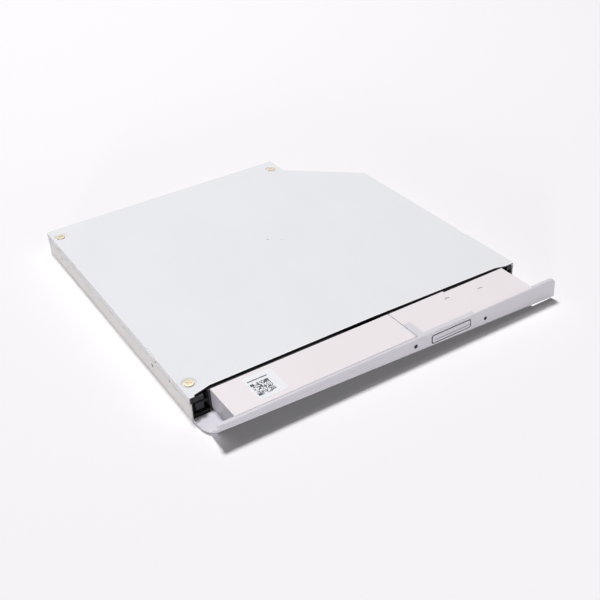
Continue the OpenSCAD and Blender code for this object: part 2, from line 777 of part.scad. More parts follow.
// Small board on the tray's front tongue, which carries the switch and the lamp
module button_board() {
    color("#1f5a3a") block([9.2 - 3, tray_front - 10, 2.6], [40, tray_front - 1, 2.6 + board_t / 2]);
}

// Push switch behind the eject button
module eject_switch() {
    z = 2.6 + board_t / 2;
    stem = bezel_front + 5.6 + button_travel + 0.15;
    color("#2b2c2e") {
        block([button_x - 2.2, stem + 0.8, z], [button_x + 2.2, stem + 4, z + 2.4]);
        translate([button_x, stem + 0.9, z + 1.5]) rotate([90, 0, 0]) cylinder(h = 0.9, r = 0.7);
    }
}

// Lamp on the button board, behind the light pipe
module lamp() {
    z = 2.6 + board_t / 2;
    color("#e8efe0") block([lamp_x - 0.9, bezel_front + 6.9, z], [lamp_x + 0.9, bezel_front + 8.6, lamp_z + 0.6]);
}

// Thin plate round the spindle, with the slot that the lens looks through
module mecha_cover() {
    color("#9a9da1") at_spindle() difference() {
        translate([0, 0, mecha_z]) linear_extrude(mecha_t) window_plan(0);
        post([0, 0], 0, case_h, table_r + 0.8);
        block([0, -6.5, 0], [slot_out - 0.5, 7.5, case_h]);
        for (p = posts) post(p, 0, case_h, 0.6);
    }
}

// Deck of the drive mechanism: die-cast ring with seats for motor, shafts, screw and dampers
module deck() {
    a = slot_in - 33.5;
    b = slot_out;
    color("#8f9397") at_spindle() difference() {
        union() {
            translate([0, 0, deck_low]) linear_extrude(deck_t) union() {
                polygon([
                    [a, -19], [b - 6.1, -18.5], [b + 2.9, -9], [b + 2.9, front_reach - b - 2.9],
                    [front_reach - 22.5, 22.5], [a, 22.5]
                ]);
                for (e = ears) translate(e) circle(r = ear_r);
            }
            for (p = posts) post(p, deck_low, mecha_z - deck_low - 0.02, post_r);
        }
        post([0, 0], 0, case_h, rotor_r + 1);
        linear_extrude(case_h) polygon([
            [slot_in, slot_v[0]], [b, slot_v[0]], [b, slot_v[1] - 2.2], [b - 2.2, slot_v[1]], [slot_in, slot_v[1]]
        ]);
        for (e = ears) post(e, 0, case_h, grommet_r + fit_gap);
        for (p = posts) post(p, deck_top, case_h, 0.6);
        for (v = [-shaft_v, shaft_v]) {
            feed_bar(slot_in - 3.8, slot_out + 1.8, v, shaft_z, shaft_r + fit_gap / 2);
            block(
                [slot_in - 3.8, v - shaft_r - fit_gap / 2, shaft_z],
                [slot_out + 1.8, v + shaft_r + fit_gap / 2, deck_top + 0.1]
            );
        }
        feed_bar(slot_out - 0.5, slot_out + 1.2, screw_v, shaft_z, lead_r + fit_gap);
        block([motor_u[0] - 0.3, screw_v - 3.3, 0], [slot_in + 1, slot_v[1], case_h]);
    }
}

// Rubber grommets that carry the deck
module damper_grommets() {
    color("#1a1a1a") at_spindle() for (e = ears) difference() {
        union() {
            post(e, deck_low - flange_t, deck_t + 2 * flange_t, grommet_r);
            post(e, deck_low - flange_t, flange_t - 0.01, 2.9);
            post(e, deck_top + 0.01, flange_t - 0.02, 2.9);
        }
        post(e, 0, case_h, 0.75);
    }
}

// Screws of the deck and of the main board, one shape
module tray_screw(p, head_top, tip) {
    post(p, head_top - flange_t, flange_t - 0.01, 1.5);
    post(p, head_top - 0.1, tip - head_top + 0.1, 0.6);
}

module tray_screws() {
    color("#b9bcc0") {
        at_spindle() for (e = ears) tray_screw(e, deck_low - flange_t, small_floor - 0.15);
        for (p = board_screws) tray_screw(p, board_z, small_floor - 0.15);
    }
}

// Spindle motor's base: plate under the deck, bearing sleeve and wound core
module motor_base() {
    color("#6f4a2a") at_spindle() difference() {
        union() {
            post([0, 0], deck_low - 0.5, 0.49, rotor_r + 2.6);
            post([0, 0], deck_low - 0.1, 2.3, 2.6);
            difference() {
                post([0, 0], deck_low - 0.1, 1.6, rotor_r - 2.2);
                for (a = [0:40:320]) rotate([0, 0, a])
                    block([rotor_r - 5.4, -0.5, deck_low], [rotor_r, 0.5, case_h]);
            }
        }
        post([0, 0], deck_low - 0.3, case_h, shaft_r + 0.03);
    }
}

// Rotor can and its shaft
module rotor() {
    low = deck_low + 0.3;
    top = disc_z - 1.2;
    color("#c8cbce") at_spindle() {
        difference() {
            post([0, 0], low, top - low, rotor_r);
            post([0, 0], low - 1, top - low + 0.5, rotor_r - 0.6);
        }
        post([0, 0], deck_low - 0.2, disc_z + 0.9 - deck_low, shaft_r);
    }
}

// Turntable with the centring hub and its three sprung claws, in one moulding
module turntable() {
    low = disc_z - 1.2 + 0.01;
    color("#33363a") at_spindle() difference() {
        union() {
            post([0, 0], low, disc_z - 0.35 - low, table_r);
            post([0, 0], low, disc_z + 1.2 - low, hub_r);
            translate([0, 0, disc_z + 1.2]) cylinder(h = 0.35, r1 = hub_r, r2 = hub_r - 0.5);
        }
        post([0, 0], 0, disc_z + 0.9, shaft_r + 0.01);
        for (a = [0, 120, 240]) rotate([0, 0, a]) difference() {
            block([hub_r - 3.4, -1.6, disc_z], [hub_r + 1, 1.6, case_h]);
            block([hub_r - 3.5, -1.15, disc_z - 1], [hub_r - 0.25, 1.15, disc_z + 1.2]);
        }
    }
}

// Rubber ring on which the disc lies
module disc_pad() {
    color("#141414") at_spindle() difference() {
        post([0, 0], disc_z - 0.34, 0.34, table_r - 0.2);
        post([0, 0], 0, case_h, hub_r + 1.6);
    }
}

// Two ground steel shafts that the pickup slides on
module main_shaft() {
    color("#d5d8da") at_spindle() feed_bar(slot_in - 3.6, slot_out + 1.6, shaft_v, shaft_z, shaft_r);
}

module sub_shaft() {
    color("#d5d8da") at_spindle() feed_bar(slot_in - 3.6, slot_out + 1.6, -shaft_v, shaft_z, shaft_r);
}

// Stepping motor of the feed, with its foot on the deck
module feed_motor() {
    color("#a3a6aa") at_spindle() difference() {
        union() {
            intersection() {
                feed_bar(motor_u[0], motor_u[1], screw_v, shaft_z, 2.9);
                block([motor_u[0] - 1, screw_v - 4, shaft_z - 1.8], [motor_u[1] + 1, screw_v + 4, shaft_z + 1.8]);
            }
            block([motor_u[0] + 1, screw_v, deck_top + 0.01], [motor_u[1] - 1, slot_v[1] + 2.4, deck_top + 0.5]);
        }
        feed_bar(motor_u[1] - 3, motor_u[1] + 1, screw_v, shaft_z, lead_r + fit_gap);
    }
}

// Lead screw: the thread is drawn as its outer cylinder with a groove at each end
module lead_screw() {
    color("#cfd2d4") at_spindle() difference() {
        feed_bar(motor_u[1] - 2.8, slot_out + 1, screw_v, shaft_z, lead_r);
        for (u = [motor_u[1] + 0.6, slot_out - 1]) difference() {
            feed_bar(u, u + 0.5, screw_v, shaft_z, 2 * lead_r);
            feed_bar(u - 1, u + 2, screw_v, shaft_z, lead_r - 0.25);
        }
    }
}

// Die-cast pickup body: bearing on the main shaft, fork on the other, pocket for the lens
module pickup_body() {
    l = pickup_l / 2;
    color("#6e7276") at_spindle() translate([lens_home, 0, 0]) difference() {
        union() {
            block([-l, -shaft_v + 1.8, 1.7], [l, shaft_v - 1.5, 4.9]);
            for (u = [-l, l - 4]) {
                feed_bar(u, u + 4, shaft_v, shaft_z, 1.62);
                block([u, shaft_v - 2, shaft_z - 1.62], [u + 4, shaft_v, shaft_z + 1.62]);
            }
            block([-2, -shaft_v - 1.6, shaft_z - 1.5], [2, -shaft_v + 2, shaft_z + 1.5]);
        }
        feed_bar(-20, 20, shaft_v, shaft_z, shaft_r + 0.03);
        feed_bar(-20, 20, -shaft_v, shaft_z, shaft_r + 0.03);
        block([-3, -shaft_v - 3, shaft_z - shaft_r], [3, -shaft_v, shaft_z + shaft_r]);
        block([-5, -6, 2.8], [5, 6, case_h]);
    }
}

// Follower on the lead screw, fixed to the pickup's side
module feed_nut() {
    color("#e6e2d6") at_spindle() translate([lens_home, 0, 0]) difference() {
        block([nut_u[0], shaft_v + 1.65, shaft_z - 1.2], [nut_u[1], screw_v + 1.7, shaft_z + 1.2]);
        feed_bar(-20, 20, screw_v, shaft_z, lead_r + fit_gap);
    }
}

// Moulded lens holder, floating in the pickup's pocket
module lens_holder() {
    color("#2e3033") at_spindle() translate([lens_home, 0, 0]) difference() {
        block([-4.2, -5.2, 3.4], [4.2, 5.2, 5.5]);
        post([0, 0], 3, case_h, 2);
        for (v = [-4.1, 2.3]) block([-3, v, 3], [3, v + 1.8, 5]);
    }
}

// Objective lens
module objective_lens() {
    color("#9fb4d8") at_spindle() translate([lens_home, 0, 0]) {
        translate([0, 0, 4.7]) cylinder(h = 0.8, r = 1.98);
        intersection() {
            translate([0, 0, 2.6]) sphere(r = 3.4);
            post([0, 0], 5.4, 1, 1.98);
        }
    }
}

// Main circuit board under the tray's floor
module main_board() {
    color("#1f5a3a") difference() {
        translate([0, 0, board_z + 0.01]) linear_extrude(board_t - 0.02) polygon(main_outline);
        for (p = board_screws) post(p, 0, case_h, 0.75);
    }
}

// Chips on the underside of the main board
module board_chips() {
    color("#202123") for (c = [[35, -14, 13, 13, 1], [37, -31, 10, 10, 0.9], [16, 32, 9, 7, 0.9], [36, 28, 6, 5, 0.8]])
        block([c[0], c[1], board_z - c[4]], [c[0] + c[2], c[1] + c[3], board_z]);
}

// Flat cable sockets on the underside of the main board
module board_connectors() {
    color("#d8d2c2") {
        block([flex_x - 1.2, main_socket_y, board_z - 1.1], [flex_x + flex_w + 1.2, main_socket_y + 3, board_z]);
        block([33.5, 3, board_z - 1.1], [36.5, 20, board_z]);
    }
}

// Solenoid that frees the latch
module solenoid() {
    x = lever_pos[0];
    y = lever_pos[1] - plunger_dy;
    color("#8a5a32") difference() {
        union() {
            block([x - 24, y - 2.2, plunger_z - 1.5], [x - 11, y + 4.8, plunger_z + 2.3]);
        }
        translate([x - 10, y, plunger_z]) rotate([0, -90, 0]) cylinder(h = 12, r = plunger_r + 0.06);
        block([x - 21, y - 3, plunger_z + 0.9], [x - 14, y + 4, case_h]);
    }
}

// Sliding core of the solenoid, which pushes the lever's tail
module solenoid_plunger() {
    x = lever_pos[0] - lever_r - 0.25;
    y = lever_pos[1] - plunger_dy;
    color("#b7babd") translate([x, y, plunger_z]) rotate([0, -90, 0]) cylinder(h = 18, r = plunger_r);
}

// One round-ended arm of the lever
module arm(a, b) {
    d = b - a;
    length = sqrt(d[0] * d[0] + d[1] * d[1]);
    translate([a[0], a[1], 0]) rotate([0, 0, atan2(d[1], d[0])])
        block([0, -0.9 * lever_r, 0], [length, 0.9 * lever_r, lever_t]);
    post(b, 0, lever_t, lever_r);
}

// Latch lever: hook arm, tail for the solenoid, and a tab behind the emergency hole
module latch_lever() {
    color("#d9d4c4") translate([lever_pos[0], lever_pos[1], lever_z]) difference() {
        union() {
            post([0, 0], 0, lever_t, 2);
            arm([0, 0], hook_pos);
            arm([0, 0], [0, -plunger_dy]);
            arm([0, 0], [lever_tab_dx, 0.6]);
            post([lever_tab_dx, 0.6], 0, pin_hole_z + 0.4 - lever_z, lever_r);
        }
        post([0, 0], -1, 9, 0.85);
    }
}

bottom_cover();
top_cover();
cover_screws();
left_guide();
right_guide();
left_rail();
right_rail();
rear_board();
sata_connector();
flex_socket();
flex_cable();
latch_pin();
tray();
front_bezel();
shelf_cap();
light_pipe();
data_label();
eject_button();
button_board();
eject_switch();
lamp();
mecha_cover();
deck();
damper_grommets();
tray_screws();
motor_base();
rotor();
turntable();
disc_pad();
main_shaft();
sub_shaft();
feed_motor();
lead_screw();
pickup_body();
feed_nut();
lens_holder();
objective_lens();
main_board();
board_chips();
board_connectors();
solenoid();
solenoid_plunger();
latch_lever();
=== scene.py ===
"""Slim optical disc writer for a portable computer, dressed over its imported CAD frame.

Metres, +Z up, -Y towards the bezel, as in the frame; sizes of pieces are in millimetres. Every
section is one piece of the drive or one group of like pieces, in the order of putting together.
"""

import math

import bmesh
import bpy
from mathutils import Matrix, Vector


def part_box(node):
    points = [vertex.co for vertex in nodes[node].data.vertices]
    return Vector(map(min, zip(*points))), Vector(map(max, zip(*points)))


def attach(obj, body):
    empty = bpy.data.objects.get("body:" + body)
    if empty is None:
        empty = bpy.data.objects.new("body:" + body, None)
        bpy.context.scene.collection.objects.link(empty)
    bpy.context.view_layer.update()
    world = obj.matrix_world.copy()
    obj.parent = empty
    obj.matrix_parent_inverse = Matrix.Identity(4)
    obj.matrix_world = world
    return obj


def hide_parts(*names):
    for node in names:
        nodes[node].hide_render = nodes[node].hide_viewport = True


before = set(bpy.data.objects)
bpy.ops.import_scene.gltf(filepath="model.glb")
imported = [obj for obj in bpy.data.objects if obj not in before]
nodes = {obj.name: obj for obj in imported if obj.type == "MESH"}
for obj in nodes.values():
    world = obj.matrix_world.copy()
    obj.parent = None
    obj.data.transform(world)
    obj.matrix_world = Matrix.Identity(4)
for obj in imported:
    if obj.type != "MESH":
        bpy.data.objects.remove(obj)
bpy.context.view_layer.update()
MM = 0.001

# Camera. It stands at the front left above the drive, where the photograph was taken: the place,
# the lens and the slight roll come from the casing's edges.
CAMERA_PLACE = (-143.64, -275.51, 188.49)
CAMERA_TURN = (56.571, 3.489, -31.830)
camera_data = bpy.data.cameras.new("camera")
camera_data.sensor_width = 36
camera_data.lens = 57.42
camera_data.clip_start = 0.01
camera_data.clip_end = 20
camera = bpy.data.objects.new("camera", camera_data)
camera.location = [c * MM for c in CAMERA_PLACE]
camera.rotation_euler = [math.radians(a) for a in CAMERA_TURN]
bpy.context.scene.collection.objects.link(camera)
bpy.context.scene.camera = camera
bpy.context.scene.view_settings.view_transform = "Standard"


# Floor and light. A white paper sweep in daylight from a small high window behind the drive, so
# the bezel throws a short dark shadow towards the camera. The room and a small low lamp at the
# front fill it softly.
def linear(sheet_hex):
    """sRGB hex colour as the linear colour a shader takes."""
    parts = [int(sheet_hex[i:i + 2], 16) / 255 for i in (1, 3, 5)]
    return tuple(p / 12.92 if p <= 0.04045 else ((p + 0.055) / 1.055) ** 2.4 for p in parts) + (1,)


def add_node(tree, kind, settings=None, inputs=None):
    """Adds one node. settings are its properties, inputs its sockets' values or what feeds them."""
    made = tree.nodes.new("ShaderNode" + kind)
    for name, value in (settings or {}).items():
        setattr(made, name, value)
    for name, value in (inputs or {}).items():
        if isinstance(value, bpy.types.NodeSocket):
            tree.links.new(value, made.inputs[name])
        else:
            made.inputs[name].default_value = value
    return made


def link_object(obj):
    """Puts a new object in the scene."""
    bpy.context.scene.collection.objects.link(obj)
    return obj


def start_finish(name, colour, metallic, roughness):
    """A new material with its shader's plain values set.

    Returns the material, its node tree, its shader and the piece's own coordinates.
    """
    made = bpy.data.materials.new(name)
    made.use_nodes = True
    tree = made.node_tree
    shader = tree.nodes["Principled BSDF"]
    shader.inputs["Base Color"].default_value = linear(colour)
    shader.inputs["Metallic"].default_value = metallic
    shader.inputs["Roughness"].default_value = roughness
    return made, tree, shader, add_node(tree, "TexCoord").outputs["Object"]


def seen_share(tree, unseen, seen):
    """Strength that the camera, gloss and clear plastic see, and another that lights the piece."""
    ray = add_node(tree, "LightPath").outputs
    looking = add_node(tree, "Math", {"operation": "MAXIMUM"}, {
        0: ray["Is Camera Ray"], 1: ray["Is Glossy Ray"],
    })
    through = add_node(tree, "Math", {"operation": "MAXIMUM"}, {
        0: looking.outputs[0], 1: ray["Is Transmission Ray"],
    })
    return add_node(tree, "MapRange", inputs={
        "Value": through.outputs[0], "To Min": unseen, "To Max": seen,
    }).outputs[0]


FLOOR_HALF, FLOOR_DROP = 6, 0.05 * MM
QUARTERS = ((-1, -1), (1, -1), (1, 1), (-1, 1))
floor_mesh = bpy.data.meshes.new("paper_floor")
floor_mesh.from_pydata(
    [(x * FLOOR_HALF, y * FLOOR_HALF, -FLOOR_DROP) for x, y in QUARTERS], [], [(0, 1, 2, 3)],
)
floor = link_object(bpy.data.objects.new("paper_floor", floor_mesh))

# Uncoated paper has no gloss. The window light falls off over the sweep, so the paper shows more
# of its own white further out.
WINDOW_PLACE = (0.03, 0.5, 1.7)
WHITE_FROM, WHITE_TO = 0.45, 1.9
WHITE_NEAR, WHITE_FAR = 0.05, 0.8
paper, tree, shader, place = start_finish("matt_white_paper", "#faf8f8", 0, 0.9)
shader.inputs["Specular IOR Level"].default_value = 0
shader.inputs["Emission Color"].default_value = linear("#fbfbff")
from_window = add_node(tree, "VectorMath", {"operation": "DISTANCE"}, {
    0: place, 1: (WINDOW_PLACE[0], WINDOW_PLACE[1], 0),
})
own_white = add_node(tree, "MapRange", {"interpolation_type": "SMOOTHSTEP"}, {
    "Value": from_window.outputs["Value"], "From Min": WHITE_FROM, "From Max": WHITE_TO,
    "To Min": WHITE_NEAR, "To Max": WHITE_FAR,
})
white = seen_share(tree, 0, own_white.outputs[0])
tree.links.new(white, shader.inputs["Emission Strength"])
floor_mesh.materials.append(paper)

ROOM_LIGHT, ROOM_SEEN = 0.085, 0.95
world = bpy.data.worlds.new("white_room")
bpy.context.scene.world = world
world.use_nodes = True
room = world.node_tree
sky = room.nodes["Background"]
sky.inputs["Color"].default_value = linear("#fffcf9")
room.links.new(seen_share(room, ROOM_LIGHT, ROOM_SEEN), sky.inputs["Strength"])


def add_softbox(name, place, size, power, colour):
    """One square studio light at place, turned to the drive."""
    data = bpy.data.lights.new(name, "AREA")
    data.shape = "SQUARE"
    data.size = size
    data.energy = power
    data.color = linear(colour)[:3]
    lamp = link_object(bpy.data.objects.new(name, data))
    lamp.location = place
    lamp.rotation_euler = Vector(place).to_track_quat("Z", "Y").to_euler()


add_softbox("window_light", WINDOW_PLACE, size=0.34, power=27.4, colour="#fbfbff")
add_softbox("front_fill", (-0.9, -1.1, 0.09), size=0.16, power=8.5, colour="#fbf9ff")


# Top cover. A flat lid of skin-passed galvanised steel, 0.5 mm thick, folded down at the sides and
# pressed into three screw cups. It is pale and nearly matt. Its front edge has a painted highlight,
# a white line on the small bevel, over the darker bare zinc of the cut.
def per_mm(size):
    """Texture scale at which one feature is size millimetres across."""
    return 1 / (size * MM)


def wear_in(obj, finish):
    """Gives an object one finish all over."""
    obj.data.materials.clear()
    obj.data.materials.append(finish)


def round_edges(obj, width):
    """Breaks the sharp edges of a pressed, moulded or cast piece by width millimetres."""
    weld = obj.modifiers.new("weld", "WELD")
    weld.merge_threshold = 0.001 * MM
    bevel = obj.modifiers.new("broken_edges", "BEVEL")
    bevel.width = width * MM
    bevel.segments = 2
    bevel.limit_method = "ANGLE"
    bevel.angle_limit = math.radians(35)
    bevel.use_clamp_overlap = True
    normals = obj.modifiers.new("even_normals", "WEIGHTED_NORMAL")
    normals.keep_sharp = False


def mottle(tree, shader, place, size, stretch, low, high):
    """Slow change of tone between two hex colours, features size mm across, drawn out along Y."""
    spread = add_node(tree, "Mapping", inputs={"Vector": place, "Scale": (1, 1 / stretch, 1)})
    cloud = add_node(tree, "TexNoise", inputs={
        "Vector": spread.outputs[0], "Scale": per_mm(size), "Detail": 4, "Roughness": 0.55,
    })
    tone = add_node(tree, "Mix", {"data_type": "RGBA"}, {
        "Factor": cloud.outputs["Fac"], "A": linear(low), "B": linear(high),
    })
    tree.links.new(tone.outputs["Result"], shader.inputs["Base Color"])


def grain_bump(tree, shader, place, size, stretch, height):
    """Fine relief of a surface: grain size mm across, height mm high, drawn out along Y."""
    spread = add_node(tree, "Mapping", inputs={"Vector": place, "Scale": (1, 1 / stretch, 1)})
    grain = add_node(tree, "TexNoise", inputs={
        "Vector": spread.outputs[0], "Scale": per_mm(size), "Detail": 3,
    })
    relief = add_node(tree, "Bump", inputs={
        "Height": grain.outputs["Fac"], "Strength": 1, "Distance": height * MM,
    })
    tree.links.new(relief.outputs[0], shader.inputs["Normal"])


def sheet_steel(name, low, high, metallic, roughness):
    """Galvanised sheet: soft zinc mottling, faint rolling lines along Y, and a finish grain."""
    made, tree, shader, place = start_finish(name, low, metallic, roughness)
    mottle(tree, shader, place, size=22, stretch=1.6, low=low, high=high)
    rolled = add_node(tree, "Mapping", inputs={"Vector": place, "Scale": (1, 0.02, 1)})
    lines = add_node(tree, "TexNoise", inputs={
        "Vector": rolled.outputs[0], "Scale": per_mm(0.5), "Detail": 2,
    })
    satin = add_node(tree, "MapRange", inputs={
        "Value": lines.outputs["Fac"], "To Min": roughness - 0.05, "To Max": roughness + 0.07,
    })
    tree.links.new(satin.outputs[0], shader.inputs["Roughness"])
    grain_bump(tree, shader, place, size=0.35, stretch=3, height=0.004)
    return made


def loft(first, last):
    """Closed solid between two outlines that have the same number of points, in mm."""
    count = len(first)
    sides = [(i, (i + 1) % count, count + (i + 1) % count, count + i) for i in range(count)]
    return [*first, *last], [tuple(range(count)), *sides, tuple(range(count, 2 * count))]


def plate(outline, low, high):
    """Solid with an outline seen from above, between two heights."""
    return loft([(x, y, low) for x, y in outline], [(x, y, high) for x, y in outline])


def block(low, high):
    """Box between two corners."""
    outline = [(low[0], low[1]), (high[0], low[1]), (high[0], high[1]), (low[0], high[1])]
    return plate(outline, low[2], high[2])


def arc(centre, radius, start, end, steps=8):
    """Points of an arc between two angles in degrees."""
    angles = [math.radians(start + (end - start) * i / steps) for i in range(steps + 1)]
    return [(centre[0] + radius * math.cos(a), centre[1] + radius * math.sin(a)) for a in angles]


def ring(centre, radius, sides):
    """Outline of a circle with a number of sides."""
    return arc(centre, radius, 0, 360 - 360 / sides, sides - 1)


def disc(place, radius, low, high, top_radius=None):
    """Upright round solid, or a cone where the top has a radius of its own."""
    bottom, top = ring(place, radius, 48), ring(place, top_radius or radius, 48)
    return loft([(x, y, low) for x, y in bottom], [(x, y, high) for x, y in top])


def inset(outline, wall):
    """An outline moved inwards by a wall's thickness."""
    moved = []
    corners = zip(outline[-1:] + outline[:-1], outline, outline[1:] + outline[:1])
    for before, corner, after in corners:
        along = [
            (Vector(end) - Vector(start)).normalized()
            for start, end in ((before, corner), (corner, after))
        ]
        inward = [Vector((-a.y, a.x)) for a in along]
        share = 1 + inward[0].dot(inward[1])
        moved.append(Vector(corner) + (inward[0] + inward[1]) * wall / share)
    return [tuple(p) for p in moved]


def solids_mesh(name, solids):
    """Mesh of several closed solids, in mm, with their faces turned outwards."""
    build = bmesh.new()
    for points, faces in solids:
        corners = [build.verts.new(p) for p in points]
        for face in faces:
            build.faces.new([corners[i] for i in face])
    bmesh.ops.recalc_face_normals(build, faces=build.faces)
    mesh = bpy.data.meshes.new(name)
    build.to_mesh(mesh)
    build.free()
    return mesh


def carve(name, added, cut=()):
    """One piece in metres: the added solids fused into one, less the cut ones."""
    piece = link_object(bpy.data.objects.new(name, solids_mesh(name, added[:1])))
    tools = []
    for operation, solids in (("UNION", added[1:]), ("DIFFERENCE", cut)):
        if solids:
            tool = bpy.data.objects.new(name + "_tool", solids_mesh(name, solids))
            tools.append(link_object(tool))
            step = piece.modifiers.new(operation, "BOOLEAN")
            step.operation = operation
            step.solver = "EXACT"
            step.use_self = True
            step.object = tool
    bpy.context.view_layer.update()
    carved = piece.evaluated_get(bpy.context.evaluated_depsgraph_get())
    mesh = bpy.data.meshes.new_from_object(carved)
    mesh.transform(Matrix.Scale(MM, 4))
    piece.modifiers.clear()
    piece.data = mesh
    for tool in tools:
        bpy.data.objects.remove(tool)
    return piece


def finish_faces(piece, finish, chosen):
    """Gives a second finish to the faces for which chosen(centre, normal), in mm, is true."""
    piece.data.materials.append(finish)
    for face in piece.data.polygons:
        if chosen(face.center / MM, face.normal):
            face.material_index = len(piece.data.materials) - 1


def on_body(piece, body, slot, *replaced):
    """Tells the frame which body a piece rides on and what it stands for; slot is not used."""
    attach(piece, body)
    if replaced:
        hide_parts(*replaced)


cover_low, cover_high = (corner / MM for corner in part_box("top_cover"))
SHEET = 0.5
ROOF = cover_high.z - SHEET
LAP = 0.1
CASING_FRONT, STEP_X, SLANT_ENDS = -63.5, 38.5, (28.2, 52)
FLAP_Y, SET_BACK, SET_BACK_RIGHT = cover_low.y, cover_low.y + 2.3, cover_low.y + 1.15
FLAP_LEFT, FLAP_RIGHT, FLAP_STEP = 1.9, 3.5, 0.7
BEND_LEFT, BEND_MIDDLE, BEND_RIGHT = 8, 5, 7.5
EDGE_W, EDGE_D = 0.35, 0.14
CUP_IN, CUP_FRONT, CUP_BACK = 3.4, -56.5, 56.9
CUPS = [
    (cover_low.x + CUP_IN, CUP_FRONT), (cover_low.x + CUP_IN, CUP_BACK),
    (STEP_X - CUP_IN, CUP_BACK),
]
CUP_R, CUP_WALL, HEAD_R, HEAD_PLAY, SCREW_R = 2.6, 0.2, 1.7, 0.2, 1
PLUG_OPENING = ((-57.2, 62.8, 1.9), (-25.2, 64, 7.6))
NOTCHES = ((-64, -38.7), (64, -38.7), (-64, 51.4), (-64, 59.8))
NOTCH_DEEP, NOTCH_HALF, NOTCH_LOW, NOTCH_HIGH = 1, 0.65, 7.2, 8
SLIT_SIDES, SLIT_HALF, SLIT_FRONT, SLIT_BACK = (-64, 64), 0.35, -38.3, -32.3
SLIT_LOW, SLIT_HIGH = 8.55, 9.5
DIMPLES = (((2.8, 4.3), 0.45, 8.8), ((7.1, 1), 0.4, 8.9))
ABOVE = 10
SQUARE_ON = 0.8
casing_outline = [
    (cover_low.x, CASING_FRONT), (cover_high.x, CASING_FRONT), (cover_high.x, SLANT_ENDS[0]),
    (STEP_X, SLANT_ENDS[1]), (STEP_X, cover_high.y), (cover_low.x, cover_high.y),
]
inner_outline = inset(casing_outline, SHEET)
flanges = []
for i in range(1, 6):
    after = (i + 1) % 6
    strip = [casing_outline[i], casing_outline[after], inner_outline[after], inner_outline[i]]
    flanges.append(plate(strip, cover_low.z, ROOF + LAP))


def front_waste(back):
    """Outline of what is cut away before the lid's front edge, with the edge moved back."""
    left, right = cover_low.x, cover_high.x
    return [
        (left - 1, FLAP_Y - 2), (right + 1, FLAP_Y - 2), (right + 1, FLAP_Y + back),
        (right - FLAP_RIGHT, FLAP_Y + back), (right - BEND_RIGHT, SET_BACK_RIGHT + back),
        (BEND_MIDDLE, SET_BACK + back), (left + BEND_LEFT, SET_BACK + back),
        (left + FLAP_LEFT, FLAP_Y + FLAP_STEP + back), (left + FLAP_LEFT, FLAP_Y + back),
        (left - 1, FLAP_Y + back),
    ]


cover = carve("pressed_cover", [
    plate(casing_outline, ROOF, cover_high.z), *flanges,
    *(disc(place, CUP_R + CUP_WALL, ROOF - SHEET, ROOF + LAP) for place in CUPS),
], [
    plate(front_waste(0), ROOF - 1, ROOF + 2),
    loft([(x, y, cover_high.z - EDGE_D) for x, y in front_waste(-0.01)],
         [(x, y, cover_high.z + 0.02) for x, y in front_waste(EDGE_W)]),
    *(disc(place, HEAD_R + HEAD_PLAY, ROOF, cover_high.z + 0.01, CUP_R) for place in CUPS),
    *(disc(place, SCREW_R, ROOF - 1, ROOF + 1) for place in CUPS),
    block(*PLUG_OPENING),
    *(block((x - NOTCH_DEEP, y - NOTCH_HALF, NOTCH_LOW),
            (x + NOTCH_DEEP, y + NOTCH_HALF, NOTCH_HIGH)) for x, y in NOTCHES),
    *(block((x - SLIT_HALF, SLIT_FRONT, SLIT_LOW),
            (x + SLIT_HALF, SLIT_BACK, SLIT_HIGH)) for x in SLIT_SIDES),
    *(disc(place, radius, low, ABOVE) for place, radius, low in DIMPLES),
])
cover_steel = sheet_steel("skin_passed_galvanised_steel", "#dfe0e1", "#e5e6e7", 0.12, 0.6)
cut_edge = sheet_steel("sheared_zinc_edge", "#77787a", "#828385", 1, 0.3)
# Painted highlight: pure white for the small bevel along the front edge.
painted_edge_highlight = sheet_steel("painted_highlight_edge", "#fafafa", "#ffffff", 0, 0.4)
wear_in(cover, cover_steel)
finish_faces(cover, cut_edge, lambda centre, normal: (
    normal.y < -SQUARE_ON and centre.y < SET_BACK + 0.1
))
# The front bevel takes the painted highlight, a white line along the edge.
finish_faces(cover, painted_edge_highlight, lambda centre, normal: (
    -SQUARE_ON < normal.y < -0.2 and normal.z > 0.3 and centre.y < SET_BACK + EDGE_W
))
round_edges(cover, 0.06)
on_body(cover, "casing", "cover_steel", "top_cover")

# Base pan. The same steel, folded from one blank into a tray with low walls; it is greyer, because
# its zinc is thicker and isn't skin-passed.
base_steel = sheet_steel("folded_galvanised_steel", "#d2d0cd", "#dcdad7", 0.5, 0.5)
wear_in(nodes["bottom_cover"], base_steel)
round_edges(nodes["bottom_cover"], 0.12)

# Cover screws. Small cold-headed M2 screws with a yellow chromate over the zinc, which gives them
# a brassy, slightly uneven colour.
screw_steel, tree, shader, place = start_finish("yellow_chromate_zinc", "#dccfb8", 0.35, 0.45)
mottle(tree, shader, place, size=1.1, stretch=1, low="#cfbf9f", high="#ebe1cd")
grain_bump(tree, shader, place, size=0.2, stretch=1, height=0.004)
wear_in(nodes["cover_screws"], screw_steel)
round_edges(nodes["cover_screws"], 0.08)


# Slides. Two roll-formed steel rails, phosphated to a dark matt grey with faint drawn lines, run
# in moulded acetal guides at the sides of the casing, which are black with a low gloss. The rails'
# dark grey is partly painted shade, for where they show in the shaded front openings.
def bright_metal(name, low, high, roughness, size, stretch):
    """Bare machined or plated metal with drawn lines size mm apart."""
    made, tree, shader, place = start_finish(name, low, 1, roughness)
    mottle(tree, shader, place, size, stretch, low, high)
    grain_bump(tree, shader, place, size / 2, stretch, height=0.003)
    return made


def moulded(name, low, high, roughness, grain, height):
    """Injection-moulded plastic with the spark-eroded grain of its mould."""
    made, tree, shader, place = start_finish(name, low, 0, roughness)
    mottle(tree, shader, place, size=9, stretch=1, low=low, high=high)
    grain_bump(tree, shader, place, grain, 1, height)
    return made
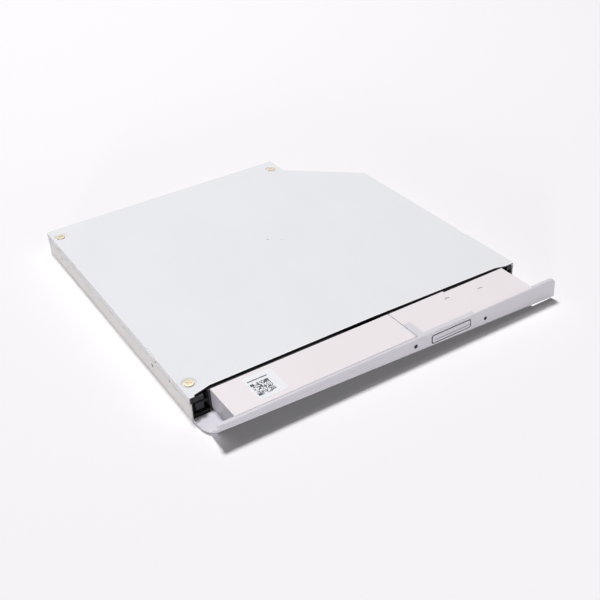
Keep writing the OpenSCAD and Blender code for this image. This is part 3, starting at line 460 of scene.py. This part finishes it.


# Dark grey, partly painted shade of the front openings.
dark_rails_and_shade = bright_metal(
    "phosphated_rails_and_painted_shade", "#2b2c2e", "#38393b", roughness=0.5, size=0.6, stretch=20
)
guide_acetal = moulded(
    "black_acetal", "#0b0b0c", "#101112", roughness=0.45, grain=0.6, height=0.006
)
for name in ("left_rail", "right_rail"):
    wear_in(nodes[name], dark_rails_and_shade)
    round_edges(nodes[name], 0.1)
for name in ("left_guide", "right_guide"):
    wear_in(nodes[name], guide_acetal)
    round_edges(nodes[name], 0.12)

# Circuit boards and sockets. Glass-fibre laminate under green solder mask, with the tracks showing
# as slightly lighter lines. The sockets, the feed nut and the latch lever are moulded in cream
# liquid-crystal polymer, which is matt.
TRACK_CELL, TRACK_EDGE = 2.6, 0.42
board_mask, tree, shader, place = start_finish("green_solder_mask", "#12502f", 0, 0.28)
cells = add_node(tree, "TexVoronoi", {"distance": "CHEBYCHEV", "feature": "F1"}, {
    "Vector": place, "Scale": per_mm(TRACK_CELL),
})
track = add_node(tree, "ValToRGB", inputs={"Fac": cells.outputs["Distance"]})
track.color_ramp.interpolation = "CONSTANT"
track.color_ramp.elements[0].color = linear("#0f4a2a")
track.color_ramp.elements[1].color = linear("#1f6b3f")
track.color_ramp.elements[1].position = TRACK_EDGE
tree.links.new(track.outputs["Color"], shader.inputs["Base Color"])
grain_bump(tree, shader, place, size=0.8, stretch=1, height=0.01)
for name in ("rear_board", "main_board", "button_board"):
    wear_in(nodes[name], board_mask)
    round_edges(nodes[name], 0.05)
socket_cream = moulded(
    "cream_crystal_polymer", "#cfc6b0", "#d9d1bd", roughness=0.5, grain=0.4, height=0.004
)
for name in ("flex_socket", "board_connectors", "feed_nut", "latch_lever"):
    wear_in(nodes[name], socket_cream)
    round_edges(nodes[name], 0.08)

# Data connector. A shroud of black glass-filled nylon, slightly rough to the eye, round two keyed
# tongues. The eject switch's body and the chips' cases are as black.
connector_nylon = moulded(
    "black_glass_filled_nylon", "#121314", "#1b1c1d", roughness=0.5, grain=0.3, height=0.008
)
for name in ("sata_connector", "eject_switch", "board_chips"):
    wear_in(nodes[name], connector_nylon)
    round_edges(nodes[name], 0.08)

# Contacts of the data connector. Thirteen stamped strips, gold over nickel, lie on the tongues:
# seven for the signal side and six for the power side.
CONTACT_PITCH, CONTACT_W, CONTACT_T = 1.27, 0.62, 0.05
CONTACT_FRONT_IN, CONTACT_BACK_IN = 2, 1.2
TONGUE_IN, TONGUE_RISE = 8.25, 3.3
connector_low, connector_high = (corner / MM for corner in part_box("sata_connector"))
tongue_top = connector_low.z + TONGUE_RISE
contact_strips = []
for middle, count in ((connector_high.x - TONGUE_IN, 7), (connector_low.x + TONGUE_IN, 6)):
    for i in range(count):
        centre = middle + (i - (count - 1) / 2) * CONTACT_PITCH
        contact_strips.append(block(
            (centre - CONTACT_W / 2, connector_low.y + CONTACT_FRONT_IN, tongue_top),
            (centre + CONTACT_W / 2, connector_high.y - CONTACT_BACK_IN, tongue_top + CONTACT_T),
        ))
contacts_mesh = solids_mesh("data_contacts", contact_strips)
contacts_mesh.transform(Matrix.Scale(MM, 4))
contacts = link_object(bpy.data.objects.new("data_contacts", contacts_mesh))
wear_in(contacts, bright_metal(
    "gold_flashed_contacts", "#d9b15a", "#e6c476", roughness=0.3, size=0.5, stretch=4
))
on_body(contacts, "casing", "bright_steel")

# Flat cable. Polyester film over parallel tinned copper strips, which show through the film as
# fine lines. The real ones lie 0.5 mm apart, too fine to show, so they are drawn 3 mm apart.
STRIP_RADIAN = 0.5
WAVE_TURN = 20  # radians that a wave texture turns in one unit of its scale
film, tree, shader, place = start_finish("laminated_flat_cable", "#e4dfd0", 0, 0.35)
strips = add_node(tree, "TexWave", {"bands_direction": "X"}, {
    "Vector": place, "Scale": per_mm(STRIP_RADIAN) / WAVE_TURN,
})
strip_tone = add_node(tree, "Mix", {"data_type": "RGBA"}, {
    "Factor": strips.outputs["Fac"], "A": linear("#efeadb"), "B": linear("#b9b4a6"),
})
tree.links.new(strip_tone.outputs["Result"], shader.inputs["Base Color"])
grain_bump(tree, shader, place, size=2, stretch=1, height=0.01)
wear_in(nodes["flex_cable"], film)

# Tray. One large moulding in a black blend of ABS and polycarbonate, which the disc drops into.
# Its fine spark-eroded grain makes it an even satin black.
tray_plastic = moulded(
    "black_abs_blend", "#1b1c1e", "#232427", roughness=0.5, grain=0.45, height=0.01
)
wear_in(nodes["tray"], tray_plastic)
round_edges(nodes["tray"], 0.2)


# Runner pad. A square stop of dull black rubber pressed onto the front end of the tray's left
# runner, which is the grey square in the opening beside the bezel's box.
def bar_along_y(outline, front, back):
    """Solid with an outline in X and Z, between two depths."""
    return loft([(x, front, z) for x, z in outline], [(x, back, z) for x, z in outline])


def round_box(left, low, right, high, radius):
    """Outline of a rectangle with rounded corners."""
    corners = ((right, high, 0), (left, high, 90), (left, low, 180), (right, low, 270))
    points = []
    for x, y, turn in corners:
        centre = (
            x - radius if x == right else x + radius,
            y - radius if y == high else y + radius,
        )
        points += arc(centre, radius, turn, turn + 90, 5)
    return points


STOP_LEFT, STOP_RIGHT, STOP_LOW, STOP_HIGH, STOP_R = -62, -59.2, 2.75, 5.45, 0.4
STOP_FRONT, STOP_BACK = -62.75, -62.35
stop_outline = round_box(STOP_LEFT, STOP_LOW, STOP_RIGHT, STOP_HIGH, STOP_R)
runner_pad = carve("runner_pad", [bar_along_y(stop_outline, STOP_FRONT, STOP_BACK)])
wear_in(runner_pad, moulded(
    "black_stop_rubber", "#1d1c21", "#232227", roughness=0.7, grain=0.5, height=0.01
))
round_edges(runner_pad, 0.1)
on_body(runner_pad, "tray", "rubber_black")


# Bezel. One ABS moulding: a front wall over a slanted underside and a thin foot plate, with a box
# behind the wall whose top is the shelf. It is sprayed with a pale silver lacquer; the shelf has a
# lighter, warmer copy of it, which is painted light from above. The underside and the openings are
# bare dark plastic, which is partly painted shade: dark in the gaps round the button and lamp, and
# dark beneath, so that little light bounces into the bezel's shadow on the paper.
def silver_lacquer(name, low, high, roughness):
    """Lacquer with fine aluminium flake, which breaks up its gloss, over a smooth moulding."""
    made, tree, shader, place = start_finish(name, low, 0.08, roughness)
    mottle(tree, shader, place, size=30, stretch=1, low=low, high=high)
    flakes = add_node(tree, "TexVoronoi", {"feature": "F1"}, {
        "Vector": place, "Scale": per_mm(0.3),
    })
    sparkle = add_node(tree, "MapRange", inputs={
        "Value": flakes.outputs["Distance"], "To Min": roughness - 0.08, "To Max": roughness + 0.08,
    })
    tree.links.new(sparkle.outputs[0], shader.inputs["Roughness"])
    shader.inputs["Coat Weight"].default_value = 0.08
    shader.inputs["Coat Roughness"].default_value = 0.3
    grain_bump(tree, shader, place, size=1.4, stretch=1, height=0.006)
    return made


def bar_along_x(left, right, section):
    """Solid with a section in Y and Z that may change with X."""
    return loft([(left, *p) for p in section(left)], [(right, *p) for p in section(right)])


bezel_low, bezel_high = (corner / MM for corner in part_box("front_bezel"))
WALL_FRONT = bezel_low.y
WALL_BACK = WALL_FRONT + 1.3
BOX_BACK = bezel_high.y
FOOT_LEFT, WALL_RIGHT = bezel_low.x, bezel_high.x
WALL_LEFT = FOOT_LEFT + 1.4
BOX_LEFT, BOX_RIGHT = FOOT_LEFT + 7.4, WALL_RIGHT - 9.8
FOOT_RIGHT = BOX_RIGHT + 1
FOOT_LOW, FOOT_BACK = bezel_low.z, BOX_BACK - 1.6
SKIN = 1.1
RIM = 8.55
SHELF = RIM - 0.1
UNDER_SHELF = SHELF - SKIN
SEAM_X, SEAM_W, SEAM_LAP = 10, 0.22, 0.4
RIM_W, CAP_RIM_W, GROOVE_D, GROOVE_IN = 0.9, 0.4, 0.12, 0.15
PAD_RIGHT, PAD_BACK = 33, WALL_BACK + 0.5
STRIP_RIGHT, STRIP_BACK = SEAM_X + 2.9, BOX_BACK - 8
LEDGE_LOW, LEDGE_W, LEDGE_BACK_IN = UNDER_SHELF - SKIN, 1.6, 1.2
RIBS, RIB_T, RIB_D = (-30, -2, 44.5), 1, 6
SLOTS, SLOT_IN, SLOT_LOW, SLOT_HIGH = (-41, 9.5), 8.3, 1.2, 5
UNDER_ANGLE = 43.2
FACE_LOW_LEFT, FACE_LOW_RIGHT = 6.3, 1.4
FACE_FALL = (FACE_LOW_LEFT - FACE_LOW_RIGHT) / (WALL_RIGHT - WALL_LEFT)
SLANT = math.tan(math.radians(UNDER_ANGLE))
SKIN_RISE = SKIN * math.sqrt(1 + SLANT ** 2 + FACE_FALL ** 2)
CORNER_R, END_R, OPENING_R = 4.5, 1.8, 0.75
BUTTON_LEFT, BUTTON_RIGHT, BUTTON_LOW, BUTTON_TOP = 15.45, 31.15, 4.05, 6.75
GAP, SMALL_GAP = 0.52, 0.15
LAMP_PLACE, LAMP_R = (8.6, 5.8), 0.75
PIN_PLACE, PIN_R = (37.5, 4.8), 0.65
OPENINGS = (
    (BUTTON_LEFT - GAP - 0.1, BUTTON_RIGHT + SMALL_GAP + 0.1),
    (LAMP_PLACE[0] - 1, LAMP_PLACE[0] + 1), (PIN_PLACE[0] - 1, PIN_PLACE[0] + 1),
)


def face_low(x):
    """Height of the front wall's lower edge, which falls towards the right."""
    return FACE_LOW_LEFT - FACE_FALL * (x - WALL_LEFT)


def shell_section(x):
    """Front wall, slanted skin and foot plate in one section, with the space under them full."""
    skin_top = face_low(x) + SKIN_RISE
    return [
        (WALL_FRONT, RIM), (WALL_FRONT, FOOT_LOW),
        (FOOT_BACK, FOOT_LOW), (FOOT_BACK, FOOT_LOW + SKIN),
        (WALL_FRONT + (skin_top - FOOT_LOW - SKIN) / SLANT, FOOT_LOW + SKIN),
        (WALL_BACK, skin_top - (WALL_BACK - WALL_FRONT) * SLANT), (WALL_BACK, RIM),
    ]


def wall_section(x):
    """Front wall alone, which goes on past the box."""
    return [(WALL_FRONT, RIM), (WALL_FRONT, -1), (WALL_BACK, -1), (WALL_BACK, RIM)]


def space_under(x):
    """Everything under the slanted underside, from before the wall to well behind it."""
    edge, before, behind = face_low(x), 6, 30
    return [
        (WALL_FRONT - before, edge + before * SLANT), (WALL_FRONT - before, -behind),
        (WALL_FRONT + behind, edge - behind * SLANT),
    ]


def corner_waste():
    """What the rounded left corner of the foot plate takes off, square to the slanted underside."""
    corner = arc((CORNER_R, CORNER_R), CORNER_R, 270, 180)
    outline = [(-5, -2), (CORNER_R, -2), *corner, (-5, CORNER_R)]
    tilt = math.atan(FACE_FALL * math.cos(math.radians(UNDER_ANGLE)))
    place = (
        Matrix.Translation((FOOT_LEFT, WALL_FRONT, FACE_LOW_LEFT))
        @ Matrix.Rotation(-math.radians(UNDER_ANGLE), 4, "X") @ Matrix.Rotation(tilt, 4, "Y")
    )
    points, faces = bar_along_y(outline, -32, 32)
    return [place @ Vector(p) for p in points], faces


def drilled(place, radius):
    """Round hole through the front wall."""
    return bar_along_y(ring(place, radius, 24), WALL_FRONT - 2, WALL_BACK + 1.5)


inner = WALL_BACK - LAP
button_opening = round_box(
    BUTTON_LEFT - GAP, BUTTON_LOW - SMALL_GAP, BUTTON_RIGHT + SMALL_GAP, BUTTON_TOP + GAP, OPENING_R
)
wall_end_waste = [
    *arc((WALL_RIGHT - END_R, RIM - END_R), END_R, 90, 0), (WALL_RIGHT + 2, RIM - END_R),
    (WALL_RIGHT + 2, RIM + 2), (WALL_RIGHT - END_R, RIM + 2),
]
bezel = carve("bezel_moulding", [
    bar_along_x(FOOT_LEFT, FOOT_RIGHT, shell_section),
    bar_along_x(FOOT_RIGHT - 0.5, WALL_RIGHT, wall_section),
    block((SEAM_X - SEAM_LAP, inner, FOOT_LOW), (PAD_RIGHT, PAD_BACK, RIM)),
    block((SEAM_X - SEAM_LAP, inner, LEDGE_LOW), (STRIP_RIGHT, STRIP_BACK, RIM)),
    block((BOX_LEFT, inner, FOOT_LOW + LAP), (BOX_LEFT + SKIN, BOX_BACK, SHELF)),
    block((BOX_RIGHT - SKIN, inner, FOOT_LOW + LAP), (BOX_RIGHT, BOX_BACK, UNDER_SHELF)),
    block((BOX_LEFT, inner, UNDER_SHELF), (SEAM_X, BOX_BACK, SHELF)),
    block((SEAM_X - SEAM_LAP, inner, LEDGE_LOW),
          (SEAM_X + LEDGE_W, BOX_BACK - LEDGE_BACK_IN, UNDER_SHELF)),
    block((SEAM_X - LEDGE_W, inner, LEDGE_LOW), (BOX_RIGHT, WALL_BACK + 1, UNDER_SHELF)),
    *(block((x, inner, FOOT_LOW + LAP), (x + RIB_T, WALL_BACK + RIB_D, UNDER_SHELF)) for x in RIBS),
], [
    bar_along_x(FOOT_LEFT - 5, WALL_RIGHT + 5, space_under),
    block((FOOT_LEFT - 1, WALL_FRONT - 1, FACE_LOW_LEFT), (WALL_LEFT, 0, RIM + 1)),
    corner_waste(),
    bar_along_y(wall_end_waste, WALL_FRONT - 1, WALL_BACK + 1),
    bar_along_y(button_opening, WALL_FRONT - 1, PAD_BACK + 0.5),
    drilled(LAMP_PLACE, LAMP_R),
    drilled(PIN_PLACE, PIN_R),
    block((BOX_LEFT + GROOVE_IN, WALL_FRONT + RIM_W, SHELF - GROOVE_D),
          (SEAM_X, WALL_BACK, RIM + 1)),
    block((SEAM_X, WALL_FRONT + RIM_W, SHELF - GROOVE_D), (SEAM_X + SEAM_W, BOX_BACK + 1, RIM + 1)),
    block((PAD_RIGHT, WALL_FRONT + CAP_RIM_W, UNDER_SHELF),
          (BOX_RIGHT + 0.05, WALL_BACK + LAP, RIM + 1)),
    *(block((x - 0.1, BOX_BACK - SLOT_IN, SLOT_LOW), (x + 1.1, BOX_BACK - 1, SLOT_HIGH))
      for x in SLOTS),
])
face_lacquer = silver_lacquer("lavender_silver_lacquer", "#d4d1d7", "#dad7dc", 0.45)
# Painted light: the shelf's lacquer is a lighter, warmer copy of the face's, for the light on the
# top.
shelf_lacquer_painted_top_light = silver_lacquer("silver_lacquer_painted_top_light", "#ebe5e6", "#f0eaeb", 0.42)
# Bare dark plastic, partly painted shade: in the gaps of the openings and under the bezel.
bare_abs_and_painted_shade = moulded("bare_grey_abs_and_painted_shade", "#2c2b2f", "#343337", roughness=0.6, grain=0.4, height=0.004)
wear_in(bezel, face_lacquer)
# The up-facing shelf left of the seam takes the lighter copy, which is painted top light.
finish_faces(bezel, shelf_lacquer_painted_top_light, lambda centre, normal: (
    normal.z > 0.9 and abs(centre.z - SHELF) < 0.03 and centre.x < SEAM_X
))
finish_faces(bezel, bare_abs_and_painted_shade, lambda centre, normal: normal.z < -0.7 or (
    abs(normal.y) < SQUARE_ON and FACE_LOW_RIGHT < centre.z < BUTTON_TOP + GAP + 0.1 and any(
        low < centre.x < high and centre.y < PAD_BACK + 0.1 for low, high in OPENINGS
    )
))
round_edges(bezel, 0.12)
on_body(bezel, "tray", "bezel_silver", "front_bezel")

# Cap. The right half of the shelf is a separate moulding, clipped over the box where the switch is
# fitted from above. It takes the shelf's lacquer, whose lighter, warmer colour is painted light
# from above. It is cut out round the bezel's strip and pad, its front edge falls away a little, and
# it has two ejector marks.
FIT = 0.05
CAP_FRONT, CAP_BACK, CAP_STEP_X = WALL_FRONT + CAP_RIM_W + 0.08, BOX_BACK - 0.7, 33
CAP_FALL_W, CAP_FALL_D = 1.4, 0.22
MARKS, MARK_W, MARK_D, MARK_SUNK = ((30.7, -66.9), (43.6, -68.8)), 1.8, 0.6, 0.4


def cap_fall(x):
    """What the cap's falling front edge takes off."""
    return [
        (WALL_FRONT + CAP_RIM_W, SHELF - CAP_FALL_D), (WALL_FRONT + CAP_FALL_W, SHELF + 0.02),
        (WALL_FRONT + CAP_RIM_W, SHELF + 1),
    ]


cap = carve("cap_moulding", [plate([
    (SEAM_X + SEAM_W, STRIP_BACK + FIT), (STRIP_RIGHT + FIT, STRIP_BACK + FIT),
    (STRIP_RIGHT + FIT, PAD_BACK + FIT), (PAD_RIGHT + FIT, PAD_BACK + FIT),
    (PAD_RIGHT + FIT, CAP_FRONT), (BOX_RIGHT, CAP_FRONT), (BOX_RIGHT, CAP_BACK),
    (CAP_STEP_X, CAP_BACK), (CAP_STEP_X, BOX_BACK), (SEAM_X + SEAM_W, BOX_BACK),
], UNDER_SHELF + 0.02, SHELF)], [
    bar_along_x(PAD_RIGHT - 1, BOX_RIGHT + 1, cap_fall),
    *(block((x, y, SHELF - MARK_SUNK), (x + MARK_W, y + MARK_D, SHELF + 1)) for x, y in MARKS),
])
wear_in(cap, shelf_lacquer_painted_top_light)
round_edges(cap, 0.08)
on_body(cap, "tray", "shelf_silver", "shelf_cap")

# Eject button. A small ABS moulding in the face's lacquer, a little behind the wall, with a fine
# crease across its face; a plate behind the wall stops it, and a stem meets the switch.
BUTTON_SUNK, BUTTON_R = 0.15, 0.6
PLATE_LEFT, PLATE_RIGHT, PLATE_LOW, PLATE_HIGH = 13.7, 32.9, 3.6, 5.8
PLATE_FRONT, PLATE_T = PAD_BACK + 0.7, 0.7
STEM_LEFT, STEM_RIGHT, STEM_BACK = 21.8, 24.8, WALL_FRONT + 5.6
STEM_LOW, STEM_HIGH = BUTTON_LOW + 0.25, BUTTON_LOW + 1.15
LEGS = ((16.3, 17.5), (29.1, 30.3))
CREASE_LOW, CREASE_Z, CREASE_HIGH, CREASE_D, CREASE_IN = 4.8, 5, 5.25, 0.6, 0.9


def crease_section(x):
    """The crease's wedge in the button's face."""
    return [(WALL_FRONT, CREASE_LOW), (WALL_FRONT + CREASE_D, CREASE_Z), (WALL_FRONT, CREASE_HIGH)]


button_outline = round_box(BUTTON_LEFT, BUTTON_LOW, BUTTON_RIGHT, BUTTON_TOP, BUTTON_R)
button = carve("button_moulding", [
    bar_along_y(button_outline, WALL_FRONT + BUTTON_SUNK, WALL_BACK),
    block((PLATE_LEFT, PLATE_FRONT, PLATE_LOW), (PLATE_RIGHT, PLATE_FRONT + PLATE_T, PLATE_HIGH)),
    block((STEM_LEFT, inner, STEM_LOW), (STEM_RIGHT, STEM_BACK, STEM_HIGH)),
    *(block((left, inner, STEM_LOW), (right, PLATE_FRONT + LAP, STEM_HIGH))
      for left, right in LEGS),
], [
    bar_along_x(BUTTON_LEFT + CREASE_IN, BUTTON_RIGHT + 1, crease_section),
])
wear_in(button, face_lacquer)
# The button's sides and back are bare dark plastic, partly painted shade in the gap round it.
finish_faces(button, bare_abs_and_painted_shade, lambda centre, normal: (
    normal.y > -0.5 and abs(centre.z - CREASE_Z) > 0.2
))
round_edges(button, 0.1)
on_body(button, "button", "bezel_silver", "eject_button")

# Data label. Matt white polyester film with rounded corners, stuck on the shelf and printed in
# black with a neutral pattern of squares that carries no data.
LABEL_R, LABEL_T = 1.2, 0.06
CELL = 0.3 * MM
PATTERN_CELLS, CORNER_CELLS = 21, 4
BAR_CELLS, BAR_LOW, BAR_HIGH = PATTERN_CELLS + 2, PATTERN_CELLS + 4, PATTERN_CELLS + 5.6
label_low, label_high = (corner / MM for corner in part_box("data_label"))
pattern_corner = ((label_low.x + 0.25) * MM, (label_low.y + 1.7) * MM, 0)
label_outline = round_box(
    label_low.x - 0.5, label_low.y - 0.2, label_high.x - 0.7, label_high.y, LABEL_R
)
label_mesh = solids_mesh("printed_label", [plate(label_outline, SHELF, SHELF + LABEL_T)])
label_mesh.transform(Matrix.Scale(MM, 4))
label = link_object(bpy.data.objects.new("printed_label", label_mesh))
on_body(label, "tray", "label_white", "data_label")
label_film, tree, shader, place = start_finish("printed_white_polyester", "#f4f5f7", 0, 0.4)
local = add_node(tree, "VectorMath", {"operation": "SUBTRACT"}, {0: place, 1: pattern_corner})
cell_space = add_node(tree, "VectorMath", {"operation": "SCALE"}, {
    0: local.outputs[0], "Scale": 1 / CELL,
})
snapped = add_node(tree, "VectorMath", {"operation": "FLOOR"}, {0: cell_space.outputs[0]})
flat = add_node(tree, "VectorMath", {"operation": "MULTIPLY"}, {
    0: snapped.outputs[0], 1: (1, 1, 0),
})
chance = add_node(tree, "TexWhiteNoise", {"noise_dimensions": "2D"}, {"Vector": flat.outputs[0]})
dark = add_node(tree, "Math", {"operation": "GREATER_THAN"}, {0: chance.outputs["Value"], 1: 0.5})
split = add_node(tree, "SeparateXYZ", inputs={"Vector": cell_space.outputs[0]})


def patch(left, low, right, high):
    """1 within a rectangle of the pattern, measured in its cells, else 0."""
    reach = [
        add_node(tree, "Math", {"operation": "COMPARE"}, {
            0: split.outputs[axis], 1: (start + end) / 2, 2: (end - start) / 2,
        }).outputs[0]
        for axis, start, end in (("X", left, right), ("Y", low, high))
    ]
    return add_node(tree, "Math", {"operation": "MULTIPLY"}, {0: reach[0], 1: reach[1]}).outputs[0]


whole_pattern = patch(0, 0, PATTERN_CELLS, PATTERN_CELLS)
ink = add_node(tree, "Math", {"operation": "MULTIPLY"}, {0: dark.outputs[0], 1: whole_pattern})
far_corner = PATTERN_CELLS - CORNER_CELLS
solid_patches = [
    *((x, y, x + CORNER_CELLS, y + CORNER_CELLS) for x, y in (
        (0, 0), (0, far_corner), (far_corner, far_corner),
    )),
    (0, BAR_LOW, BAR_CELLS, BAR_HIGH),
]
for corners in solid_patches:
    ink = add_node(tree, "Math", {"operation": "MAXIMUM"}, {0: ink.outputs[0], 1: patch(*corners)})
print_tone = add_node(tree, "Mix", {"data_type": "RGBA"}, {
    "Factor": ink.outputs[0], "A": linear("#f6f7f9"), "B": linear("#45464c"),
})
tree.links.new(print_tone.outputs["Result"], shader.inputs["Base Color"])
grain_bump(tree, shader, place, size=0.8, stretch=1, height=0.002)
wear_in(label, label_film)

# Light pipe and lamp. A smoked acrylic rod that ends flush in the front wall, where it looks
# almost black, and the clear epoxy lamp behind it.
smoked = moulded("smoked_acrylic", "#060607", "#09090b", roughness=0.5, grain=2, height=0.001)
wear_in(nodes["light_pipe"], smoked)
round_edges(nodes["light_pipe"], 0.06)
epoxy = moulded("clear_epoxy", "#cdd8c8", "#d9e2d4", roughness=0.15, grain=1, height=0.001)
wear_in(nodes["lamp"], epoxy)

# Drive mechanism. A die-cast zinc deck on rubber grommets carries the spindle motor, the feed
# motor with its screw, and the pickup on two ground shafts. Nickel shows its drawn lines, the
# casting is dull and grainy, the shafts mirror, and the lens has a blue coating.
plated = bright_metal(
    "nickel_plated_steel", "#a7a9ac", "#b6b8ba", roughness=0.33, size=0.5, stretch=15
)
cast = moulded("die_cast_zinc", "#7f8488", "#8f9498", roughness=0.45, grain=0.7, height=0.02)
ground = bright_metal("ground_steel", "#c8cbcd", "#dadcdd", roughness=0.18, size=0.3, stretch=1)
rubber = moulded(
    "black_butyl_rubber", "#121212", "#191919", roughness=0.75, grain=0.5, height=0.01
)
hub_plastic = moulded(
    "dark_polycarbonate", "#26282b", "#2f3135", roughness=0.4, grain=0.5, height=0.004
)
winding = bright_metal(
    "enamelled_copper", "#7c3f1c", "#a4602e", roughness=0.35, size=0.25, stretch=1
)
lens_coating = moulded("coated_lens", "#7f8fc0", "#95a5d4", roughness=0.05, grain=3, height=0.0005)
finishes = {
    plated: ("mecha_cover", "feed_motor", "rotor"),
    cast: ("deck", "pickup_body"),
    ground: (
        "main_shaft", "sub_shaft", "lead_screw", "latch_pin", "tray_screws", "solenoid_plunger",
    ),
    rubber: ("damper_grommets", "disc_pad"),
    hub_plastic: ("turntable", "lens_holder"),
    winding: ("motor_base", "solenoid"),
}
for finish, names in finishes.items():
    for name in names:
        wear_in(nodes[name], finish)
        round_edges(nodes[name], 0.07)
wear_in(nodes["objective_lens"], lens_coating)
